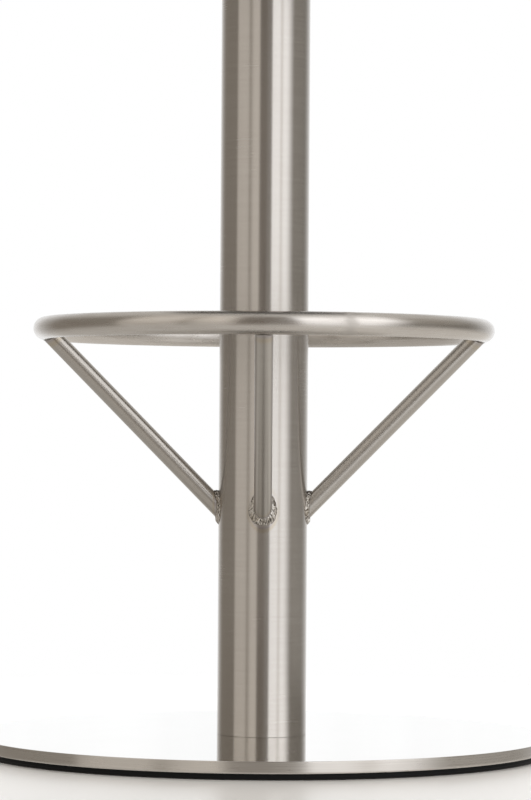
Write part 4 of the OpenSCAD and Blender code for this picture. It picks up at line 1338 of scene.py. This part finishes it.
# %% Swelling the cover
START_IN, START_LOWER, VOXEL = 1.5, 4.5, 4.0
start_outline = cushion_outline(START_IN, crown - START_LOWER, fold_z)
cover = loose(turned("seat_upholstery", start_outline, 200))
remesh = cover.modifiers.new("even", "REMESH")
remesh.mode, remesh.voxel_size = "VOXEL", MM * VOXEL
baked(cover)
swollen(cover)
ease = cover.modifiers.new("ease", "SMOOTH")
ease.factor, ease.iterations = 0.5, 4
finer = cover.modifiers.new("finer", "SUBSURF")
finer.levels = finer.render_levels = 1
baked(cover)
print("the cover has", len(cover.data.polygons), "faces, and its top is at",
      round(max(v.co.z for v in cover.data.vertices) / MM, 1))

# %% [markdown]
# Some of the cover's form is finer than any simulation of four millimetre cells, so it is moved in code. Both
# seams are drawn to their stitching line, which the piping will hide. Leather gathers in short radial
# puckers beside the piping. Under the board it is pulled tight in pleats.

# %% Seams, puckers and pleats
STITCH_R, STITCH_REACH, STITCH_FADE, STITCH_HOLD = seat_r - 0.6, 9.5, 5.5, 0.92
PUCKER, SIDE_PUCKER_LONG, TOP_PUCKER_LONG = 0.55, 16, 26
PLEAT, PLEAT_FROM, PLEAT_FULL, PLEAT_TO, PLEAT_FADE = 0.9, 168, 6, 186, 5
SIDE_DEEP, SIDE_OVER, SIDE_SLOW = 12, 4, 0.5
under_z = fold_z + 1.5  # Whatever lies lower belongs to the flat underside.


def shaped(p):
    """A point of the cover in millimetres, moved by its seams and puckers."""
    a = atan2(p.y, p.x)
    way_out = Vector((cos(a), sin(a), 0))
    for line_z in (seam_z, low_piping_z):
        stitch = way_out * STITCH_R + Vector((0, 0, line_z))
        near = max(0, (STITCH_REACH - (stitch - p).length) / STITCH_FADE)
        p = p + (stitch - p) * min(STITCH_HOLD, near) ** 1.5
    r, z = hypot(p.x, p.y), p.z
    gather = PUCKER * (wander(a, 34, 0.5) + 0.6 * wander(a, 70, 2))
    if z > roll_z and r > seat_r - SIDE_DEEP and z < seam_z + SIDE_OVER:
        from_seam = min(abs(z - seam_z), abs(z - low_piping_z))
        slow = SIDE_SLOW * wander(a, 5, z / 25)
        p = p + way_out * (gather * max(0, 1 - from_seam / SIDE_PUCKER_LONG) ** 1.5 + slow)
    elif z >= seam_z:
        if seat_r - r < TOP_PUCKER_LONG:
            p = p + Vector((0, 0, gather * (1 - (seat_r - r) / TOP_PUCKER_LONG) ** 1.6))
    elif z < under_z and r > PLEAT_FROM:
        share = min(1, (r - PLEAT_FROM) / PLEAT_FULL) * max(0, min(1, (PLEAT_TO - r) / PLEAT_FADE))
        p = p - Vector((0, 0, PLEAT * share * max(0, wander(a, 26, 8)) ** 0.6))
    return p


for v in cover.data.vertices:
    v.co = MM * shaped(v.co / MM)
print("the cover was drawn in to", round(STITCH_R, 1), "mm at its seams")

# %% [markdown]
# The cover ends under the board, in a folded strip that is stapled down. So the middle of the underside is cut
# away, the rim that is left is made round, and the skin gets its thickness.

# %% Edge and thickness of the cover
COVER_T, COVER_FOLD = 1.5, 34.0
soup = bmesh.new()
soup.from_mesh(cover.data)
inside = [f for f in soup.faces
          if f.calc_center_median().z < MM * under_z
          and hypot(*f.calc_center_median()[:2]) < MM * (seat_r - COVER_FOLD)]
bmesh.ops.delete(soup, geom=inside, context="FACES")
rim = sorted({v for e in soup.edges if e.is_boundary for v in e.verts}, key=lambda v: v.index)
for v in rim:
    v.co.xy *= MM * (seat_r - COVER_FOLD) / hypot(v.co.x, v.co.y)
soup.to_mesh(cover.data)
soup.free()
thick = cover.modifiers.new("thick", "SOLIDIFY")
thick.thickness, thick.offset = MM * COVER_T, -1
baked(cover)
tidy(cover.data, 60)
cover.data.materials.clear()
piece(cover, leather, "seat", "black_leather", "seat_cover")

# %% [markdown]
# The foam lies under the cover and is never seen, but the stool has it, so it is here: a block cut to the same
# crowned outline, with an edge that was trimmed by hand and is a little wavy.

# %% Foam block
FOAM_IN, FOAM_LOWER, CROWN_LESS, FOAM_STEPS, TRIM = 6.0, 5, 7, 144, 0.003
foam_side = [(side_r(z) - FOAM_IN, z)
             for z in (board_high.z + (seam_z - FOAM_IN - board_high.z) * k / 8 for k in range(9))]
foam_top = [(r, top_z(r, crown - CROWN_LESS) - FOAM_LOWER)
            for r in ((seat_r - FOAM_IN) * sqrt(1 - k / 14) for k in range(1, 15))]
foam_outline = [(0, board_high.z), *foam_side, *foam_top]
sections = []
for i in range(FOAM_STEPS):
    a = 2 * pi * i / FOAM_STEPS
    wavy = 1 - TRIM * (1 + wander(a, 6, 3))
    sections.append([(r * wavy * cos(a), r * wavy * sin(a), z) for r, z in foam_outline])
foam = piece(skin("seat_foam_block", sections, 40), foam_paint, "seat", "foam", "seat_foam")

# %% [markdown]
# Piping is a strip of the same leather folded round a cord and caught in the seam. It follows the seam all round,
# swells and thins a little with the stitches, and its two ends overlap at the back. It is skinned from its own
# sections, so that all of this is in the mesh.

# %% Piping
PIPING_R, PIPING_BED, PIPING_STEPS, CORD_STEPS, OVERLAP_HALF = 2.5, 0.9, 540, 18, 7
THICKER_LAP, THICKER_STITCH, SWAY, UP_AND_DOWN = 0.16, 0.035, 0.2, 0.3
AT_BACK = pi / 2


def piping_sections(z, seed):
    """Sections of a line of piping round the seat at a height."""
    rows = []
    for i in range(PIPING_STEPS):
        a = 2 * pi * i / PIPING_STEPS
        lap = max(0, 1 - abs((a - AT_BACK) * seat_r) / OVERLAP_HALF) ** 0.5
        r = PIPING_R * (1 + THICKER_LAP * lap + THICKER_STITCH * wander(a, 60, seed))
        centre = STITCH_R + PIPING_R - PIPING_BED + SWAY * wander(a, 7, seed)
        rise = UP_AND_DOWN * wander(a, 5, seed + 5)
        rows.append([((centre + r * cos(t)) * cos(a), (centre + r * cos(t)) * sin(a), z + rise + r * sin(t))
                     for t in (2 * pi * k / CORD_STEPS for k in range(CORD_STEPS))])
    return rows


upper = skin("piping_top", piping_sections(seam_z, 1.0), 60)
lower = skin("piping_low", piping_sections(low_piping_z, 6.0), 60)
piece(upper, leather, "seat", "black_leather", "seat_piping")
piece(lower, leather, "seat", "black_leather")

# %% [markdown]
# The band round the side is one strip of leather, so its ends have to meet somewhere. At the back one end is
# folded under, laid over the other and sewn down, and the thread pinches the lap between its stitches. The lap lies
# on the swollen cover, whose skin is found by a line from outside towards the axis.

# %% Lap of the back seam
LAP_W, LAP_T, LAP_SUNK, LAP_ACROSS, LAP_UP = 13.0, 1.2, 0.5, 18, 64
LAP_RUN, LAP_FOLD, LAP_SHORT, PINCH, PINCH_MORE, PINCH_HALF = 7, 0.9, 1.5, 0.3, 0.15, 1.8
EDGE_TO_STITCH, STITCH_PITCH, OUTSIDE = 3.2, 4.4, 300
cover_skin = BVHTree.FromPolygons([v.co for v in cover.data.vertices], [f.vertices for f in cover.data.polygons])


def on_band(w, z, lift):
    """A point w to the left of the lap's middle at height z, so far above the cover's skin."""
    a = AT_BACK + w / seat_r
    way_out = Vector((cos(a), sin(a), 0))
    hit = cover_skin.ray_cast(MM * (way_out * OUTSIDE + Vector((0, 0, z))), -way_out)[0] / MM
    return way_out * (hypot(hit.x, hit.y) + lift) + Vector((0, 0, z))


def lap_rise(w, z):
    """How far the lap stands up: it swells slowly towards its folded edge, and its thread pinches it."""
    from_edge = LAP_W / 2 - w
    rise = LAP_T * min(1, (w + LAP_W / 2) / LAP_RUN) * min(1, from_edge / LAP_FOLD) ** 0.5
    tight = PINCH + PINCH_MORE * cos(2 * pi * (z - low_piping_z) / STITCH_PITCH)
    return max(0, rise - tight * max(0, 1 - abs(from_edge - EDGE_TO_STITCH) / PINCH_HALF))


widths = [LAP_W * (k / LAP_ACROSS - 0.5) for k in range(LAP_ACROSS + 1)]
heights = [low_piping_z + LAP_SHORT + (seam_z - low_piping_z - 2 * LAP_SHORT) * k / LAP_UP
           for k in range(LAP_UP + 1)]
soup = bmesh.new()
sweep(soup, [[on_band(w, z, lap_rise(w, z)) for w in widths] + [on_band(w, z, -LAP_SUNK) for w in reversed(widths)]
             for z in heights])
piece(tidy(mesh_of(soup, "band_lap"), 60), leather, "seat", "black_leather")

# %% [markdown]
# The thread is bonded polyester, black and faintly glossy, with plies that twist round each other every half
# millimetre.

# %% Thread
thread_paint, tree, place = start_finish("black_polyester_thread")
twist = marks(tree, place, (0.5, 0.5, 0.3), detail=2.0)
colour = add_node(tree, "Mix", {"Factor": twist, "A": paint("#151517"), "B": paint("#2a2a2e")}, data_type="RGBA")
relief = add_node(tree, "Bump", {"Height": twist, "Strength": 0.6, "Distance": MM * 0.1})
end_finish(tree, add_node(tree, "BsdfPrincipled", {
    "Base Color": colour, "Roughness": spread(tree, twist, 0.3, 0.7, 0.45, 0.65), "IOR": 1.55, "Normal": relief}))

# %% [markdown]
# Each stitch is a short piece of thread that comes out of the leather, arches over it and goes back in, so it is
# thickest in its middle. No two stand quite in line.

# %% Stitches
STITCH_LONG, THREAD_R, STITCH_STEPS, THREAD_STEPS = 3.4, 0.36, 8, 8
STITCH_ROOM, FIRST_STITCH, CROOKED, THREAD_SUNK, THREAD_ARCH = 9, 5, 0.15, 0.25, 0.45
stitch_w = LAP_W / 2 - EDGE_TO_STITCH
stitches = int((seam_z - low_piping_z - STITCH_ROOM) / STITCH_PITCH) + 1
soup = bmesh.new()
for number in range(stitches):
    low_z = low_piping_z + FIRST_STITCH + number * STITCH_PITCH
    crooked = CROOKED * noise.noise(Vector((number * 1.3, 2, 5)))
    rings = []
    for k in range(STITCH_STEPS + 1):
        z, arch = low_z + STITCH_LONG * k / STITCH_STEPS, sin(pi * k / STITCH_STEPS)
        middle = on_band(stitch_w + crooked, z, lap_rise(stitch_w, z) - THREAD_SUNK + THREAD_ARCH * arch)
        rings.append([middle + Vector((cos(t), sin(t), 0)) * THREAD_R * (0.5 + 0.5 * arch)
                      for t in (2 * pi * j / THREAD_STEPS for j in range(THREAD_STEPS))])
    sweep(soup, rings)
piece(tidy(mesh_of(soup, "band_stitches"), 60), thread_paint, "seat", "black_leather")
print("the lap is sewn with", stitches, "stitches")

# %% [markdown]
# Non-woven cloth closes the underside against dust. It is a felt of spun fibres, matt and faintly speckled, with
# fibres of about 0.02 mm that are far too fine to draw. What the eye gets is a soft mottle 1 to 2 mm wide.

# %% Spun cloth
felt, tree, place = start_finish("black_spun_cloth")
mottle = marks(tree, place, (1.6, 1.6, 1.6), detail=5.0, rough=0.7)
strands = marks(tree, place, (0.8, 6, 0.8), detail=2.0)
colour = add_node(tree, "Mix", {"Factor": spread(tree, mottle, 0.3, 0.7, 0, 1), "A": paint("#161618"),
                                "B": paint("#2b2b2e")}, data_type="RGBA")
relief = add_node(tree, "Bump", {"Height": mottle, "Strength": 0.6, "Distance": MM * 0.2})
relief = add_node(tree, "Bump", {"Height": strands, "Strength": 0.3, "Distance": MM * 0.1, "Normal": relief})
end_finish(tree, add_node(tree, "BsdfPrincipled", {
    "Base Color": colour, "Roughness": spread(tree, mottle, 0.3, 0.7, 0.85, 0.97), "Normal": relief}))

# %% [markdown]
# The cloth is a disc that lies flat against the board and steps down over the folded edge of the leather. Between
# the bolts and that edge it sags by less than a millimetre, and each staple pulls it up, which leaves small
# waves between them. So its height is a formula over radius and angle.

# %% Underside cloth
CLOTH_T, STEP_RUN, STAPLES, CLOTH_ROUND, CLOTH_OUT = 0.8, 3.0, 30, 240, 44
SAG, SAG_FROM, SAG_RUN, STAPLE_PULL, PULL_RUN = 0.7, 105, 45, 0.35, 8
cloth_low, cloth_high = corners_of("underside_cloth")
step_r = seat_r - COVER_FOLD - STEP_RUN / 2
cloth_mid, edge_mid = cloth_high.z - CLOTH_T / 2, cloth_low.z + CLOTH_T / 2


def cloth_height(r, a):
    """Height of the cloth's middle at a radius and an angle."""
    down = max(0, min(1, (r - step_r + STEP_RUN) / STEP_RUN))
    flat = cloth_mid + (edge_mid - cloth_mid) * down
    sag = -SAG * max(0, sin(pi * min(1, max(0, (r - SAG_FROM) / SAG_RUN)))) ** 2
    pull = -STAPLE_PULL * abs(sin(STAPLES * a / 2)) ** 1.5 * max(0, min(1, (r - step_r) / PULL_RUN))
    return flat + sag + pull


radii = [cloth_high.x * k / CLOTH_OUT for k in range(1, CLOTH_OUT + 1)]
sections = [[(0, 0, cloth_mid)] + [(r * cos(a), r * sin(a), cloth_height(r, a)) for r in radii]
            for a in (2 * pi * i / CLOTH_ROUND for i in range(CLOTH_ROUND))]
k = len(sections[0])
cloth_mesh = bpy.data.meshes.new("dust_cloth")
cloth_mesh.from_pydata(
    [MM * Vector(p) for s in sections for p in s], [],
    [(i * k + j, (i + 1) % CLOTH_ROUND * k + j, (i + 1) % CLOTH_ROUND * k + j + 1, i * k + j + 1)
     for i in range(CLOTH_ROUND) for j in range(k - 1)])
dust_cloth = loose(tidy(cloth_mesh, 60))
print("the cloth is", round(2 * cloth_high.x), "mm across")

# %% [markdown]
# The cloth gets its thickness, and holes are punched for the bolts. It was cut as a disc from a square.

# %% Thickness and holes of the cloth
thick = dust_cloth.modifiers.new("thick", "SOLIDIFY")
thick.thickness, thick.offset = MM * CLOTH_T, 0
baked(dust_cloth)
drilled(dust_cloth, [(0, cloth_low.z - 5), (BOLT_HOLE_R, cloth_low.z - 5), (BOLT_HOLE_R, cloth_high.z + 5),
                     (0, cloth_high.z + 5)], 32, bolt_spots)
tidy(dust_cloth.data, 60)
piece(dust_cloth, felt, "seat", "black_cloth", "underside_cloth")

# %% [markdown]
# The cloth is tacked with wire staples, driven by hand, so no two lie quite the same way. A staple is a flattened
# wire with two rounded shoulders. One is swept along its bent line and copied round the edge, each turned by a
# little noise.

# %% Staples
STAPLE_W, STAPLE_WIRE, STAPLE_R, STAPLE_SKEW = 10.0, 0.55, 162.5, 0.35


def staple_sections():
    """A staple's wire as flat oval sections along a line that bends up at both ends."""
    half_w, wire = STAPLE_W / 2, STAPLE_WIRE
    line = [(-half_w, 0.9), (-half_w, 0.3), (-half_w + 0.25, -0.1), (-half_w + 0.8, -0.25), (0, -0.3),
            (half_w - 0.8, -0.25), (half_w - 0.25, -0.1), (half_w, 0.3), (half_w, 0.9)]
    rows = []
    for k, (x, z) in enumerate(line):
        before, after = Vector(line[max(0, k - 1)]), Vector(line[min(len(line) - 1, k + 1)])
        way_on = (after - before).normalized()
        up = Vector((-way_on.y, 0, way_on.x))
        rows.append([Vector((x, 0, z)) + up * (wire * 0.7 * cos(t)) + Vector((0, wire * sin(t), 0))
                     for t in (2 * pi * j / 8 for j in range(8))])
    return rows


staple_rows = staple_sections()
soup = bmesh.new()
for i in range(STAPLES):
    a = 2 * pi * i / STAPLES
    skew = STAPLE_SKEW * noise.noise(Vector((i * 1.7, 3.1, 0.4)))
    spot = Matrix.Translation(Vector((STAPLE_R * cos(a), STAPLE_R * sin(a), cloth_low.z)))
    turn_i = Matrix.Rotation(a + pi / 2 + skew, 4, "Z")
    sweep(soup, [[spot @ turn_i @ p for p in row] for row in staple_rows])
piece(tidy(mesh_of(soup, "cloth_staples"), 50), zinc, "seat", "zinc_steel")
print(STAPLES, "staples hold the cloth")

# %% [markdown]
# The rest of the stool is inside it: the plug and the plate in the column, the bearing, the stem and the board. Their
# solids are right as they are, so they stay, and each gets the finish that its real one has. Plain turned steel
# carries the tool's feed marks, bearing steel is ground and bright, and the cage is pressed brass. Real feed
# marks are 0.1 mm apart and are drawn a few times coarser.

# %% Turned metals
def turned_metal(name, pale, deep, feed, rough):
    """Metal turned about the stool's axis, with feed marks that many millimetres apart."""
    material, tree, place = start_finish(name)
    tool = marks(tree, place, (30, 30, feed), detail=2.0)
    stains = marks(tree, place, (8, 8, 8))
    colour = add_node(tree, "Mix", {"Factor": spread(tree, stains, 0.3, 0.7, 0, 1), "A": paint(deep),
                                    "B": paint(pale)}, data_type="RGBA")
    sheen = add_node(tree, "Math", {0: spread(tree, tool, 0.3, 0.7, rough, rough + 0.08),
                                    1: spread(tree, stains, 0.3, 0.7, -0.02, 0.04)}, operation="ADD")
    relief = add_node(tree, "Bump", {"Height": tool, "Strength": 0.5, "Distance": MM * 0.04})
    end_finish(tree, add_node(tree, "BsdfPrincipled", {
        "Base Color": colour, "Metallic": 1.0, "Roughness": sheen, "Normal": relief}))
    return material


plain_steel = turned_metal("turned_mild_steel", "#b3aea7", "#8f8a84", 0.8, 0.34)
ground_steel = turned_metal("ground_bearing_steel", "#c3c4c6", "#b4b5b8", 0.4, 0.12)
cage_brass = turned_metal("pressed_brass", "#d9b872", "#c39a52", 0.6, 0.24)

# %% [markdown]
# The bushes are turned from white acetal, a dense plastic that looks like wax and is faintly glossy where the tool
# passed.

# %% Acetal
acetal, tree, place = start_finish("white_acetal")
clouds = marks(tree, place, (10, 10, 10))
tool = marks(tree, place, (30, 30, 0.5))
colour = add_node(tree, "Mix", {"Factor": clouds, "A": paint("#e4e2da"), "B": paint("#efeee8")}, data_type="RGBA")
relief = add_node(tree, "Bump", {"Height": tool, "Strength": 0.3, "Distance": MM * 0.03})
end_finish(tree, add_node(tree, "BsdfPrincipled", {
    "Base Color": colour, "Roughness": spread(tree, tool, 0.3, 0.7, 0.3, 0.42), "IOR": 1.48, "Normal": relief}))

# %% [markdown]
# The board is birch plywood with eleven layers, and the grain of each runs across the one before. On its edge that
# shows as light and dark stripes: every second layer is end grain, which is darker.

# %% Birch plywood
PLIES = 11
ply_t = (board_high.z - board_low.z) / PLIES
birch, tree, place = start_finish("birch_plywood")
up_board = add_node(tree, "SeparateXYZ", {0: place}).outputs["Z"]
layer = add_node(tree, "Math", {0: add_node(tree, "Math", {0: up_board, 1: MM * board_low.z}, operation="SUBTRACT"),
                                1: MM * 2 * ply_t}, operation="DIVIDE")
odd = band(tree, add_node(tree, "Math", {0: layer}, operation="FRACT"), 0.5, 2, 0.06)
grain = marks(tree, place, (90, 3.5, 3.5), detail=4.0)
cross = marks(tree, place, (3.5, 90, 3.5), detail=4.0)
wood = add_node(tree, "Mix", {"Factor": odd, "A": grain, "B": cross}, data_type="FLOAT")
colour = add_node(tree, "Mix", {"Factor": spread(tree, wood, 0.3, 0.7, 0, 1), "A": paint("#b98f5c"),
                                "B": paint("#dcbf8f")}, data_type="RGBA")
colour = add_node(tree, "Mix", {"Factor": add_node(tree, "Math", {0: odd, 1: 0.35}, operation="MULTIPLY"),
                                "A": colour, "B": paint("#9a7346")}, data_type="RGBA")
relief = add_node(tree, "Bump", {"Height": wood, "Strength": 0.4, "Distance": MM * 0.15})
end_finish(tree, add_node(tree, "BsdfPrincipled", {
    "Base Color": colour, "Roughness": spread(tree, wood, 0.3, 0.7, 0.55, 0.7), "Normal": relief}))
print("a ply is", round(ply_t, 2), "mm thick")

# %% [markdown]
# The finishes go onto the solids by name, in one list that reads like the stool's parts list. Then the cell looks
# for solids that still show and have no finish, because it is easy to forget one that is inside.

# %% Dress the inner parts
INNER = {
    "base_bolts": zinc, "column_foot_plug": plain_steel, "column_end_plate": plain_steel,
    "bearing_sleeve": plain_steel, "upper_bush": acetal, "lower_bush": acetal, "lower_race": ground_steel,
    "upper_race": ground_steel, "bearing_balls": ground_steel, "ball_cage": cage_brass, "swivel_stem": plain_steel,
    "stem_washer": zinc, "circlip": plain_steel, "seat_board": birch, "tee_nuts": zinc,
}
for name, finish in INNER.items():
    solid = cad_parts[name]
    solid.data.materials.clear()
    solid.data.materials.append(finish)
shown = {o.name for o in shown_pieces()}
bare = sorted(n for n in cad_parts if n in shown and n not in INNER)
print(len(INNER), "solids wear a finish of their own, and these were missed:", bare)

# %% [markdown]
# Standard view transform keeps white at white and the paint at its written colour.

# %% Finish
bpy.context.scene.view_settings.view_transform = "Standard"
